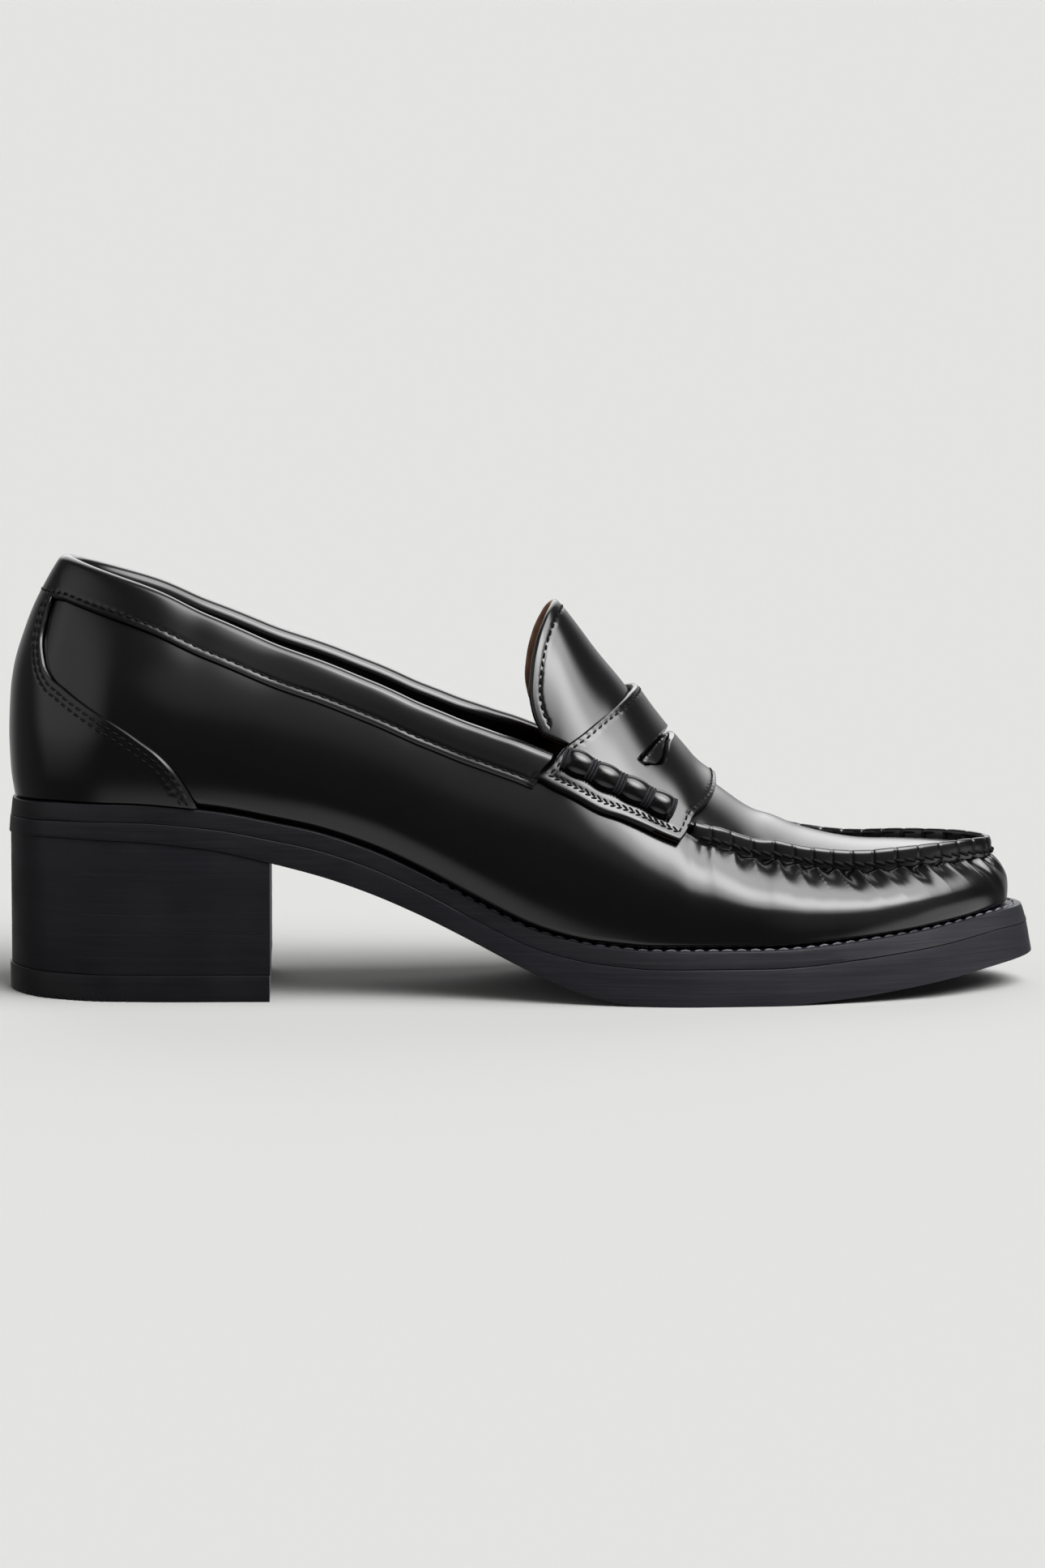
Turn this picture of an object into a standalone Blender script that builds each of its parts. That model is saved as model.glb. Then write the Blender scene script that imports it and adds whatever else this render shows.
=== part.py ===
"""Loafer pump, right shoe: block heel, stitched welt, moccasin vamp, saddle strap and tongue.

The toe points to +X, the outer side of the foot lies at -Y and the floor is z = 0.
"""
import math
from collections import namedtuple

import bmesh
import bpy
import numpy as np

# Driving sizes, in metres
SHOE_LENGTH = 0.258
BALL_WIDTH = 0.0865
HEEL_HEIGHT = 0.0347
HEEL_LENGTH = 0.0655
TOE_SPRING = 0.0081
TOE_SWING = 0.0015
SIDE_SHIFT = -0.00175
SOLE_THICKNESS = 0.0092
SOLE_EDGE = 0.0006
SOLE_LEAN = 0.0013
WELT_THICKNESS = 0.0041
WELT_LEAN = 0.0009
TOP_PIECE_HEIGHT = 0.0066
HEEL_INSET = 0.0004
INSOLE_THICKNESS = 0.0024
WALL = 0.0020
COLLAR_RISE = 0.0572
TOE_RISE = 0.0143
INSTEP_RISE = 0.0262
RIDGE_HEIGHT = 0.0040
RIDGE_WIDTH = 0.0019
PLUG_LIFT = 0.0025
SEAM_RUN_IN = 0.0020
THROAT_BLEND = 0.060
TONGUE_THICKNESS = 0.0022
STRAP_THICKNESS = 0.0021
COUNTER_THICKNESS = 0.0011
BINDING_THICKNESS = 0.0010
BINDING_DEPTH = 0.0080
ROLL_RADIUS = 0.0027
ROLL_WRAPS = 4
ROLL_END = 0.0034
GAP = 0.00035

BALL_HALF = BALL_WIDTH / 2

# Sole plan: along is a share of the length, outer and inner are shares of half the ball width
SolePlan = namedtuple("SolePlan", "along outer inner")
SOLE_PLAN = (
    SolePlan(0.000, 0.000, 0.000),
    SolePlan(0.040, 0.510, 0.510),
    SolePlan(0.100, 0.662, 0.655),
    SolePlan(0.180, 0.690, 0.678),
    SolePlan(0.260, 0.690, 0.660),
    SolePlan(0.340, 0.690, 0.618),
    SolePlan(0.420, 0.708, 0.610),
    SolePlan(0.500, 0.786, 0.690),
    SolePlan(0.580, 0.908, 0.862),
    SolePlan(0.660, 0.972, 1.000),
    SolePlan(0.740, 0.950, 1.022),
    SolePlan(0.820, 0.848, 0.925),
    SolePlan(0.900, 0.680, 0.742),
    SolePlan(0.950, 0.470, 0.515),
    SolePlan(0.980, 0.300, 0.330),
    SolePlan(1.000, 0.000, 0.000),
)

# Sole profile: heel is a share of HEEL_HEIGHT, toe of TOE_SPRING, thick of SOLE_THICKNESS
SoleProfile = namedtuple("SoleProfile", "along heel toe thick")
SOLE_PROFILE = (
    SoleProfile(0.000, 1.141, 0.000, 0.45),
    SoleProfile(0.058, 1.170, 0.000, 0.45),
    SoleProfile(0.120, 1.158, 0.000, 0.50),
    SoleProfile(0.198, 1.098, 0.000, 0.55),
    SoleProfile(0.256, 1.000, 0.000, 0.62),
    SoleProfile(0.306, 0.899, 0.000, 0.68),
    SoleProfile(0.353, 0.775, 0.000, 0.69),
    SoleProfile(0.400, 0.622, 0.000, 0.66),
    SoleProfile(0.448, 0.444, 0.000, 0.62),
    SoleProfile(0.495, 0.265, 0.000, 0.65),
    SoleProfile(0.527, 0.156, 0.000, 0.76),
    SoleProfile(0.565, 0.060, 0.000, 0.91),
    SoleProfile(0.593, 0.017, 0.000, 0.99),
    SoleProfile(0.622, 0.000, 0.000, 1.00),
    SoleProfile(0.733, 0.000, 0.000, 1.00),
    SoleProfile(0.812, 0.000, 0.150, 1.00),
    SoleProfile(0.864, 0.000, 0.350, 0.97),
    SoleProfile(0.915, 0.000, 0.590, 0.94),
    SoleProfile(0.965, 0.000, 0.850, 0.92),
    SoleProfile(1.000, 0.000, 1.000, 0.82),
)

# Last sections: along runs from the back to the toe of the upper; foot, belly and top are half widths
# as shares of half the ball width, for the outer and the inner side of the foot
LastSection = namedtuple("LastSection", "along foot_outer foot_inner belly_outer belly_inner top power")
LAST_SECTIONS = (
    LastSection(0.000, 0.000, 0.000, 0.000, 0.000, 0.000, 1.7),
    LastSection(0.040, 0.452, 0.452, 0.485, 0.485, 0.250, 1.7),
    LastSection(0.100, 0.612, 0.605, 0.655, 0.648, 0.365, 1.7),
    LastSection(0.180, 0.652, 0.640, 0.702, 0.688, 0.465, 1.7),
    LastSection(0.260, 0.655, 0.620, 0.715, 0.682, 0.530, 1.7),
    LastSection(0.340, 0.660, 0.585, 0.735, 0.672, 0.570, 1.7),
    LastSection(0.420, 0.690, 0.590, 0.772, 0.690, 0.605, 1.7),
    LastSection(0.500, 0.758, 0.662, 0.825, 0.740, 0.650, 1.8),
    LastSection(0.580, 0.855, 0.812, 0.890, 0.850, 0.690, 2.0),
    LastSection(0.660, 0.900, 0.925, 0.922, 0.948, 0.690, 2.1),
    LastSection(0.740, 0.880, 0.950, 0.902, 0.972, 0.610, 2.2),
    LastSection(0.820, 0.792, 0.865, 0.815, 0.888, 0.530, 2.2),
    LastSection(0.900, 0.640, 0.698, 0.665, 0.722, 0.430, 2.2),
    LastSection(0.950, 0.458, 0.500, 0.482, 0.522, 0.298, 2.2),
    LastSection(0.980, 0.296, 0.322, 0.312, 0.338, 0.180, 2.2),
    LastSection(1.000, 0.000, 0.000, 0.000, 0.000, 0.000, 2.2),
)

# Top edge of the quarters and vamp above the welt, and the crown of the instep above the plug's edge
TopLine = namedtuple("TopLine", "along collar toe crest")
TOP_LINE = (
    TopLine(0.000, 1.000, 0.000, 2.105),
    TopLine(0.055, 0.925, 0.000, 2.105),
    TopLine(0.100, 0.868, 0.000, 2.055),
    TopLine(0.145, 0.800, 0.000, 2.005),
    TopLine(0.190, 0.752, 0.000, 1.955),
    TopLine(0.235, 0.714, 0.000, 1.905),
    TopLine(0.280, 0.694, 0.000, 1.855),
    TopLine(0.320, 0.684, 0.000, 1.805),
    TopLine(0.365, 0.682, 0.000, 1.755),
    TopLine(0.410, 0.700, 0.000, 1.705),
    TopLine(0.455, 0.728, 0.000, 1.655),
    TopLine(0.490, 0.746, 0.000, 1.565),
    TopLine(0.528, 0.734, 0.000, 1.400),
    TopLine(0.580, 0.660, 0.000, 1.055),
    TopLine(0.608, 0.609, 0.000, 0.885),
    TopLine(0.634, 0.552, 0.000, 0.705),
    TopLine(0.664, 0.488, 0.000, 0.520),
    TopLine(0.703, 0.300, 0.540, 0.352),
    TopLine(0.752, 0.000, 1.515, 0.220),
    TopLine(0.795, 0.000, 1.342, 0.158),
    TopLine(0.838, 0.000, 1.200, 0.118),
    TopLine(0.865, 0.000, 1.148, 0.097),
    TopLine(0.895, 0.000, 1.124, 0.076),
    TopLine(0.965, 0.000, 1.022, 0.028),
    TopLine(1.000, 0.000, 0.920, 0.000),
)

# Ends of the upper: back is the set-back from the sole's back edge, front from its toe,
# in shares of the heel's and the toe's named set-backs, by height between welt and top edge
BACK_SETBACK = 0.0148
TOE_SETBACK = 0.0103
EndProfile = namedtuple("EndProfile", "up back front")
END_PROFILE = (
    EndProfile(0.00, 0.190, 0.640),
    EndProfile(0.12, 0.125, 0.600),
    EndProfile(0.28, 0.100, 0.592),
    EndProfile(0.46, 0.130, 0.612),
    EndProfile(0.56, 0.185, 0.650),
    EndProfile(0.71, 0.360, 0.740),
    EndProfile(0.87, 0.630, 0.880),
    EndProfile(1.00, 1.000, 1.000),
)
BELLY_UP = 0.27

# Edges drawn on the instep: across runs from the crest (0) to the raised seam (1),
# the others are places along the sole as shares of its length
InstepEdge = namedtuple("InstepEdge", "across tongue throat strap_back slot_back slot_front strap_front")
INSTEP_EDGES = (
    InstepEdge(0.00, 0.5325, 0.6190, 0.6042, 0.6368, 0.6398, 0.6850),
    InstepEdge(0.15, 0.5305, 0.6170, 0.6028, 0.6350, 0.6392, 0.6852),
    InstepEdge(0.40, 0.5222, 0.6090, 0.5961, 0.6285, 0.6350, 0.6840),
    InstepEdge(0.60, 0.5127, 0.5970, 0.5851, 0.6205, 0.6324, 0.6808),
    InstepEdge(0.73, 0.5074, 0.5855, 0.5732, 0.6135, 0.6268, 0.6758),
    InstepEdge(0.83, 0.5053, 0.5740, 0.5618, 0.6065, 0.6115, 0.6700),
    InstepEdge(0.90, 0.5085, 0.5640, 0.5522, 0.6030, 0.6080, 0.6642),
    InstepEdge(0.96, 0.5185, 0.5530, 0.5402, 0.6000, 0.6060, 0.6600),
    InstepEdge(1.00, 0.5270, 0.5440, 0.5310, 0.5980, 0.6050, 0.6565),
)
SLOT_END = 0.83

# Flap of the strap below the raised seam: drop is a share of FLAP_DROP
FLAP_DROP = 0.0064
FLAP_LEAN = 0.0024
FlapEdge = namedtuple("FlapEdge", "along drop")
FLAP_EDGE = (
    FlapEdge(0.515, 0.90),
    FlapEdge(0.530, 1.00),
    FlapEdge(0.562, 1.04),
    FlapEdge(0.596, 0.84),
    FlapEdge(0.626, 0.70),
    FlapEdge(0.656, 0.62),
)

# Front edge of the counter: up is the height between welt and collar, along a share of the length
CounterEdge = namedtuple("CounterEdge", "up along")
COUNTER_EDGE = (
    CounterEdge(0.00, 0.178),
    CounterEdge(0.10, 0.168),
    CounterEdge(0.19, 0.156),
    CounterEdge(0.28, 0.140),
    CounterEdge(0.36, 0.116),
    CounterEdge(0.42, 0.088),
    CounterEdge(0.48, 0.060),
    CounterEdge(0.54, 0.042),
    CounterEdge(0.62, 0.035),
    CounterEdge(0.76, 0.037),
    CounterEdge(1.00, 0.045),
)

# Mesh fineness
RING_STEPS = 38
WALL_ROWS = (0.0, 0.13, 0.27, 0.42, 0.57, 0.70, 0.80, 0.87, 0.935, 1.0)
ACROSS_STEPS = 12
COUNTER_ROWS = 12
COUNTER_STEPS = 11
SOLE_STEPS = 34
WELD = 0.000004

# Colours
BLACK_POLISHED = (0.006, 0.006, 0.007, 1.0)
BLACK_EDGE = (0.020, 0.020, 0.024, 1.0)
BROWN_LINING = (0.045, 0.022, 0.013, 1.0)


def smooth_curve(xs, ys):
    """Return a curve through the points that never overshoots a flat or a peak."""
    xs = np.array(xs, float)
    ys = np.array(ys, float)
    steps = np.diff(xs)
    rises = np.diff(ys) / steps
    slopes = np.zeros(len(xs))
    for i in range(1, len(xs) - 1):
        if rises[i - 1] * rises[i] > 0:
            before = 2 * steps[i] + steps[i - 1]
            after = steps[i] + 2 * steps[i - 1]
            slopes[i] = (before + after) / (before / rises[i - 1] + after / rises[i])
    slopes[0] = rises[0]
    slopes[-1] = rises[-1]

    def value(x):
        x = min(max(x, xs[0]), xs[-1])
        i = min(int(np.searchsorted(xs, x, side="right")) - 1, len(xs) - 2)
        i = max(i, 0)
        h = steps[i]
        t = (x - xs[i]) / h
        stay = (1 + 2 * t) * (1 - t) ** 2 * ys[i] + t * t * (3 - 2 * t) * ys[i + 1]
        lean = t * (1 - t) ** 2 * h * slopes[i] - t * t * (1 - t) * h * slopes[i + 1]
        return float(stay + lean)

    return value


def column(rows, name, key="along"):
    """Curve through one column of a table."""
    return smooth_curve([getattr(r, key) for r in rows], [getattr(r, name) for r in rows])


def width_column(rows, name):
    """Curve of a half width; its square is smooth, so both ends come out round."""
    squared = smooth_curve([r.along for r in rows], [getattr(r, name) ** 2 for r in rows])
    return lambda along: BALL_HALF * math.sqrt(max(squared(along), 0.0))


def ramp(value, start, end):
    """Soft step from 0 at start to 1 at end."""
    t = min(max((value - start) / (end - start), 0.0), 1.0)
    return t * t * (3 - 2 * t)


SOLE_SIDE = {"outer": width_column(SOLE_PLAN, "outer"), "inner": width_column(SOLE_PLAN, "inner")}
FOOT_SIDE = {
    "outer": width_column(LAST_SECTIONS, "foot_outer"),
    "inner": width_column(LAST_SECTIONS, "foot_inner"),
}
BELLY_SIDE = {
    "outer": width_column(LAST_SECTIONS, "belly_outer"),
    "inner": width_column(LAST_SECTIONS, "belly_inner"),
}
TOP_WIDTH = width_column(LAST_SECTIONS, "top")
FULLNESS = column(LAST_SECTIONS, "power")
HEEL_LIFT = column(SOLE_PROFILE, "heel")
TOE_LIFT = column(SOLE_PROFILE, "toe")
SOLE_DEPTH = column(SOLE_PROFILE, "thick")
COLLAR_LINE = column(TOP_LINE, "collar")
TOE_LINE = column(TOP_LINE, "toe")
CREST_LINE = column(TOP_LINE, "crest")
END_BACK = column(END_PROFILE, "back", "up")
END_FRONT = column(END_PROFILE, "front", "up")
FLAP_LINE = column(FLAP_EDGE, "drop")
COUNTER_LINE = column(COUNTER_EDGE, "along", "up")
EDGE = {name: column(INSTEP_EDGES, name, "across") for name in InstepEdge._fields[1:]}


def along_of(x):
    """Share of the sole's length at a place x."""
    return x / SHOE_LENGTH + 0.5


def place_of(along):
    """Place x at a share of the sole's length."""
    return (along - 0.5) * SHOE_LENGTH


def centre_line(x):
    """The foot's centre swings a little to the inner side towards the toe."""
    return SIDE_SHIFT + TOE_SWING * ramp(along_of(x), 0.45, 1.0)


def sole_under(x):
    """Height of the outsole's underside."""
    along = along_of(x)
    return HEEL_LIFT(along) * HEEL_HEIGHT + TOE_LIFT(along) * TOE_SPRING


def sole_over(x):
    """Height of the outsole's upper side."""
    return sole_under(x) + SOLE_DEPTH(along_of(x)) * SOLE_THICKNESS


def welt_under(x):
    return sole_over(x) + GAP


def welt_over(x):
    return welt_under(x) + WELT_THICKNESS


def foot_line(x):
    """Height of the upper's lower edge, just above the welt."""
    return welt_over(x) + GAP


def top_line(x):
    """Height of the collar, and further forward of the foot of the raised seam."""
    along = (x - back_end(1.0)) / (front_end(1.0) - back_end(1.0))
    share = COLLAR_LINE(along) * COLLAR_RISE + TOE_LINE(along) * TOE_RISE
    return foot_line(x) + share


def back_end(up):
    return -SHOE_LENGTH / 2 + END_BACK(up) * BACK_SETBACK


def front_end(up):
    return SHOE_LENGTH / 2 - END_FRONT(up) * TOE_SETBACK


def ring_point(turn, up):
    """Point of the quarters and vamp.

    turn runs from 0 at the back, round the outer side to pi at the toe, and -pi round the inner side.
    up runs from 0 at the welt to 1 at the collar or the raised seam.
    """
    turn = math.remainder(turn, 2 * math.pi)
    side = "outer" if turn >= 0 else "inner"
    along = (1 - math.cos(turn)) / 2
    x = back_end(up) + along * (front_end(up) - back_end(up))
    foot = FOOT_SIDE[side](along)
    belly = BELLY_SIDE[side](along)
    top = TOP_WIDTH(along)
    if up < BELLY_UP:
        half = belly - (belly - foot) * ((BELLY_UP - up) / BELLY_UP) ** 2
    else:
        half = belly - (belly - top) * ((up - BELLY_UP) / (1 - BELLY_UP)) ** FULLNESS(along)
    y = centre_line(x) + (-half if side == "outer" else half)
    z = foot_line(x) + up * (top_line(x) - foot_line(x))
    return np.array((x, y, z))


def seam_start():
    """Places where the raised seam begins to rise and is at full height."""
    edge = place_of(EDGE["strap_front"](0.96)) + 3 * GAP
    return edge, edge + SEAM_RUN_IN


def seam_fade(x):
    """The raised seam stands up just in front of the strap."""
    return ramp(x, *seam_start())


def cap_point(x, across):
    """Point of the instep, plug and tongue: across is -1 at the outer seam, 0 at the crest, 1 inside."""
    back = back_end(1.0)
    front = front_end(1.0) - RIDGE_WIDTH
    along = min((x - back) / (front - back), 1.0)
    half = TOP_WIDTH(along) * (1 - RIDGE_WIDTH / TOP_WIDTH(0.66))
    y = centre_line(x) + across * half
    z = top_line(x) + PLUG_LIFT + CREST_LINE(along) * INSTEP_RISE * (1 - across ** 2)
    return np.array((x, y, z))


def unit(vector):
    return vector / np.linalg.norm(vector)


def ring_normal(turn, up):
    """Outward normal of the quarters and vamp."""
    d = 0.004
    low = max(up - d, 0.0)
    high = min(up + d, 1.0)
    around = ring_point(turn + d, up) - ring_point(turn - d, up)
    upward = ring_point(turn, high) - ring_point(turn, low)
    normal = unit(np.cross(around, upward))
    return normal


def cap_normal(x, across):
    """Outward normal of the instep."""
    d = 0.0004
    e = 0.004
    last = front_end(1.0) - RIDGE_WIDTH - d
    x = min(x, last)
    forward = cap_point(x + d, across) - cap_point(x - d, across)
    sideways = cap_point(x, across + e) - cap_point(x, across - e)
    return unit(np.cross(forward, sideways))


def turn_at(x, up):
    """The turn whose point lies at x, on the outer side."""
    share = (x - back_end(up)) / (front_end(up) - back_end(up))
    return math.acos(1 - 2 * min(max(share, 0.0), 1.0))


def material(name, colour, roughness):
    mat = bpy.data.materials.new(name)
    mat.use_nodes = True
    shader = mat.node_tree.nodes["Principled BSDF"]
    shader.inputs["Base Color"].default_value = colour
    shader.inputs["Roughness"].default_value = roughness
    shader.inputs["Metallic"].default_value = 0.0
    return mat


def add_solid(name, points, faces, mat):
    """Weld the points, close the faces into one body facing out, and add it as an object."""
    mesh = bpy.data.meshes.new(name)
    mesh.from_pydata([tuple(p) for p in points], [], faces)
    bm = bmesh.new()
    bm.from_mesh(mesh)
    bmesh.ops.remove_doubles(bm, verts=bm.verts, dist=WELD)
    loose = [v for v in bm.verts if not v.link_faces]
    bmesh.ops.delete(bm, geom=loose, context="VERTS")
    bmesh.ops.triangulate(bm, faces=bm.faces)
    bmesh.ops.recalc_face_normals(bm, faces=bm.faces)
    bm.to_mesh(mesh)
    bm.free()
    mesh.shade_smooth()
    mesh.set_sharp_from_angle(angle=math.radians(38))
    obj = bpy.data.objects.new(name, mesh)
    obj.data.materials.append(mat)
    bpy.context.scene.collection.objects.link(obj)
    return obj


def add_shell(name, outer, inner, mat, present=None):
    """Solid between two equal grids of points, with walls along every free edge.

    Points of the outer grid that coincide are welded, so ends and tips close.
    """
    rows = len(outer)
    cols = len(outer[0])
    index = {}
    numbers = np.zeros((rows, cols), int)
    points = []
    for i in range(rows):
        for j in range(cols):
            key = tuple(np.round(np.array(outer[i][j]) / WELD).astype(int))
            if key not in index:
                index[key] = len(points) // 2
                points.append(outer[i][j])
                points.append(inner[i][j])
            numbers[i][j] = index[key]
    faces = []
    edges = {}
    for i in range(rows - 1):
        for j in range(cols - 1):
            if present is not None and not present(i, j):
                continue
            corners = [numbers[i][j], numbers[i + 1][j], numbers[i + 1][j + 1], numbers[i][j + 1]]
            corners = [c for k, c in enumerate(corners) if c != corners[k - 1]]
            if len(corners) < 3:
                continue
            faces.append([2 * c for c in corners])
            faces.append([2 * c + 1 for c in reversed(corners)])
            for k, start in enumerate(corners):
                end = corners[(k + 1) % len(corners)]
                edges.setdefault(frozenset((start, end)), []).append((start, end))
    for uses in edges.values():
        if len(uses) == 1:
            start, end = uses[0]
            faces.append([2 * end, 2 * start, 2 * start + 1, 2 * end + 1])
    return add_solid(name, points, faces, mat)


def plan_loop(last, steps, inset, toe_inset):
    """Closed loop of the sole's outline up to the place last, drawn in by an inset."""
    end = math.acos(1 - 2 * along_of(last))
    turns = [end * k / steps for k in range(steps + 1)]
    length = SHOE_LENGTH - 2 * inset
    loop = []
    for side, order in (("outer", turns), ("inner", reversed(turns))):
        for turn in order:
            along = (1 - math.cos(turn)) / 2
            draw = inset + (toe_inset - inset) * ramp(along, 0.75, 1.0)
            x = -SHOE_LENGTH / 2 + inset + along * length
            x -= (toe_inset - inset) * ramp(along, 0.75, 1.0)
            half = SOLE_SIDE[side](along) * (1 - draw / BALL_HALF / 0.70)
            y = centre_line(x) + (-half if side == "outer" else half)
            loop.append((x, y))
    return loop


def add_layer(name, under, over, low_inset, high_inset, last, mat, toe_low=None, toe_high=None):
    """A layer of the sole or heel: outline loops at four heights, closed by strips across."""
    toe_low = low_inset if toe_low is None else toe_low
    toe_high = high_inset if toe_high is None else toe_high
    rings = (
        (low_inset + SOLE_EDGE, toe_low + SOLE_EDGE, lambda x: under(x)),
        (low_inset, toe_low, lambda x: under(x) + SOLE_EDGE),
        (high_inset, toe_high, lambda x: over(x) - SOLE_EDGE),
        (high_inset + SOLE_EDGE, toe_high + SOLE_EDGE, lambda x: over(x)),
    )
    steps = SOLE_STEPS if last > 0 else SOLE_STEPS // 2
    points = []
    for inset, toe_inset, height in rings:
        for x, y in plan_loop(last, steps, inset, toe_inset):
            points.append((x, y, height(x)))
    count = 2 * (steps + 1)
    faces = []
    for ring in range(len(rings) - 1):
        for k in range(count):
            a = ring * count + k
            b = ring * count + (k + 1) % count
            faces.append([a, b, b + count, a + count])
    top = (len(rings) - 1) * count
    for k in range(steps):
        mate = count - 1 - k
        faces.append([k, mate, mate - 1, k + 1])
        faces.append([top + k, top + k + 1, top + mate - 1, top + mate])
    return add_solid(name, points, faces, mat)


def add_insole(mat):
    """Footbed that fits inside the upper's lower edge."""
    rows_high = []
    rows_low = []
    for i in range(RING_STEPS + 1):
        turn = math.pi * i / RING_STEPS
        ends = []
        for sign in (1, -1):
            point = ring_point(sign * turn, 0.0)
            normal = ring_normal(sign * turn, 0.0)
            inward = unit(np.array((normal[0], normal[1], 0.0)))
            ends.append(point - inward * (WALL + 3 * GAP))
        mid = (ends[0][1] + ends[1][1]) / 2
        if i in (0, RING_STEPS):
            ends[0][1] = mid
            ends[1][1] = mid
        high = []
        low = []
        for k in range(5):
            spot = ends[0] + (ends[1] - ends[0]) * k / 4
            base = welt_over(spot[0]) + GAP
            low.append((spot[0], spot[1], base))
            high.append((spot[0], spot[1], base + INSOLE_THICKNESS))
        rows_high.append(high)
        rows_low.append(low)
    return add_shell("insole", rows_high, rows_low, mat)


def ring_stations():
    """Turns of the upper's sections, with one at the throat and two where the raised seam begins."""
    throat = turn_at(place_of(EDGE["throat"](1.0)), 1.0)
    low, high = (turn_at(x, 1.0) for x in seam_start())
    back_steps = int(RING_STEPS * 0.50)
    mid_steps = int(RING_STEPS * 0.16)
    front_steps = RING_STEPS - back_steps - mid_steps
    turns = [throat * k / back_steps for k in range(back_steps)]
    turns += [throat + (low - throat) * k / mid_steps for k in range(mid_steps + 1)]
    turns += [high + (math.pi - high) * k / front_steps for k in range(front_steps + 1)]
    return turns, back_steps


def cap_place(x):
    """Place on the instep's edge that faces the place x on the seam's foot."""
    share = (x - back_end(1.0)) / (front_end(1.0) - back_end(1.0))
    return back_end(1.0) + share * (front_end(1.0) - RIDGE_WIDTH - back_end(1.0))


def throat_warp(x, across):
    """Cap columns follow the curved throat under the strap and straighten towards the toe."""
    throat = place_of(EDGE["throat"](1.0))
    shift = place_of(EDGE["throat"](abs(across))) - throat
    return x + shift * (1 - ramp(x, throat, throat + THROAT_BLEND))


def add_upper(mat):
    """Quarters, vamp, raised seam and plug as one hollow shell, open at the collar and below."""
    turns, throat_row = ring_stations()
    acrosses = [math.sin(math.pi / 2 * (2 * k / ACROSS_STEPS - 1)) for k in range(ACROSS_STEPS + 1)]
    outer = []
    inner = []
    for turn in turns:
        out_row = []
        in_row = []
        sides = []
        for sign in (1, -1):
            outs = []
            ins = []
            for up in WALL_ROWS:
                point = ring_point(sign * turn, up)
                normal = ring_normal(sign * turn, up)
                inside = point - normal * WALL
                if up == 0.0:
                    inside = point - unit(np.array((normal[0], normal[1], 0.0))) * WALL
                    inside[2] = foot_line(inside[0])
                outs.append(point)
                ins.append(inside)
            if turn in (turns[0], turns[-1]):
                for inside in ins:
                    inside[1] = centre_line(inside[0])
            sides.append((outs, ins))
        x_top = sides[0][0][-1][0]
        x_cap = cap_place(x_top)
        cap_out = []
        cap_in = []
        for across in acrosses:
            x = throat_warp(x_cap, across)
            point = cap_point(x, across)
            cap_out.append(point)
            cap_in.append(point - cap_normal(x, 0.0 if turn == turns[-1] else across) * WALL)
        fade = seam_fade(x_top)
        rise_out = GAP / 3 + (RIDGE_HEIGHT - GAP / 3) * fade
        rise_in = PLUG_LIFT + GAP / 3 + (RIDGE_HEIGHT - PLUG_LIFT) * fade
        ridge_out = []
        for sign, side, cap_edge in ((1, sides[0], cap_out[0]), (-1, sides[1], cap_out[-1])):
            foot = side[0][-1]
            top_out = foot + np.array((0.0, 0.0, rise_out))
            top_in = np.array((cap_edge[0], cap_edge[1], foot[2] + rise_in))
            low_in = side[1][-1]
            edge_in = cap_in[0] if sign > 0 else cap_in[-1]
            mids = (low_in + (edge_in - low_in) / 3, low_in + (edge_in - low_in) * 2 / 3)
            ridge_out.append(((top_out, top_in), mids))
        out_row += sides[0][0]
        in_row += sides[0][1]
        out_row += list(ridge_out[0][0])
        in_row += list(ridge_out[0][1])
        out_row += cap_out
        in_row += cap_in
        out_row += list(reversed(ridge_out[1][0]))
        in_row += list(reversed(ridge_out[1][1]))
        out_row += list(reversed(sides[1][0]))
        in_row += list(reversed(sides[1][1]))
        outer.append(out_row)
        inner.append(in_row)
    skirt = len(WALL_ROWS) - 1
    total = len(outer[0])

    def present(i, j):
        return i >= throat_row or j < skirt or j >= total - 1 - skirt

    return add_shell("upper", outer, inner, mat, present)


def add_tongue(mat):
    """Shield-shaped tongue on the instep's own surface, rising behind the strap."""
    outer = []
    inner = []
    reach = 0.955
    for i in range(17):
        across = reach * math.sin(math.pi / 2 * (i / 8 - 1))
        start = place_of(EDGE["tongue"](abs(across)))
        end = throat_warp(cap_place(place_of(EDGE["throat"](1.0))), across) - 2 * GAP
        out_row = []
        in_row = []
        for k in range(9):
            x = start + (end - start) * k / 8
            point = cap_point(x, across)
            normal = cap_normal(x, across)
            out_row.append(point)
            in_row.append(point - normal * TONGUE_THICKNESS)
        outer.append(out_row)
        inner.append(in_row)
    return add_shell("tongue", outer, inner, mat)


def strap_rows():
    """Girth lines of the strap from the outer flap over the crest to the inner flap."""
    rows = [("flap", 1, 1.0), ("flap", 1, 0.5), ("flap", 1, 0.0)]
    slots = (0.96, 0.90, SLOT_END, 0.73, 0.60, 0.40, 0.15)
    rows += [("cap", -1, a) for a in slots]
    rows += [("cap", 1, 0.0)]
    rows += [("cap", 1, a) for a in reversed(slots)]
    rows += [("flap", -1, 0.0), ("flap", -1, 0.5), ("flap", -1, 1.0)]
    return rows


def strap_point(kind, sign, value, x, offset):
    """Point of the strap's surface at a girth line and place x, raised by an offset."""
    if kind == "cap":
        point = cap_point(x, sign * value)
        return point + cap_normal(x, sign * value) * offset
    drop = FLAP_DROP * FLAP_LINE(along_of(x)) * value
    up = 1 - drop / (top_line(x) - foot_line(x))
    turn = sign * turn_at(x, up)
    point = ring_point(turn, up)
    normal = ring_normal(turn, up)
    seam = cap_normal(x, -0.97 * sign)
    blend = 0.5 * (1 - value)
    return point + unit(normal * (1 - blend) + seam * blend) * offset


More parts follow.
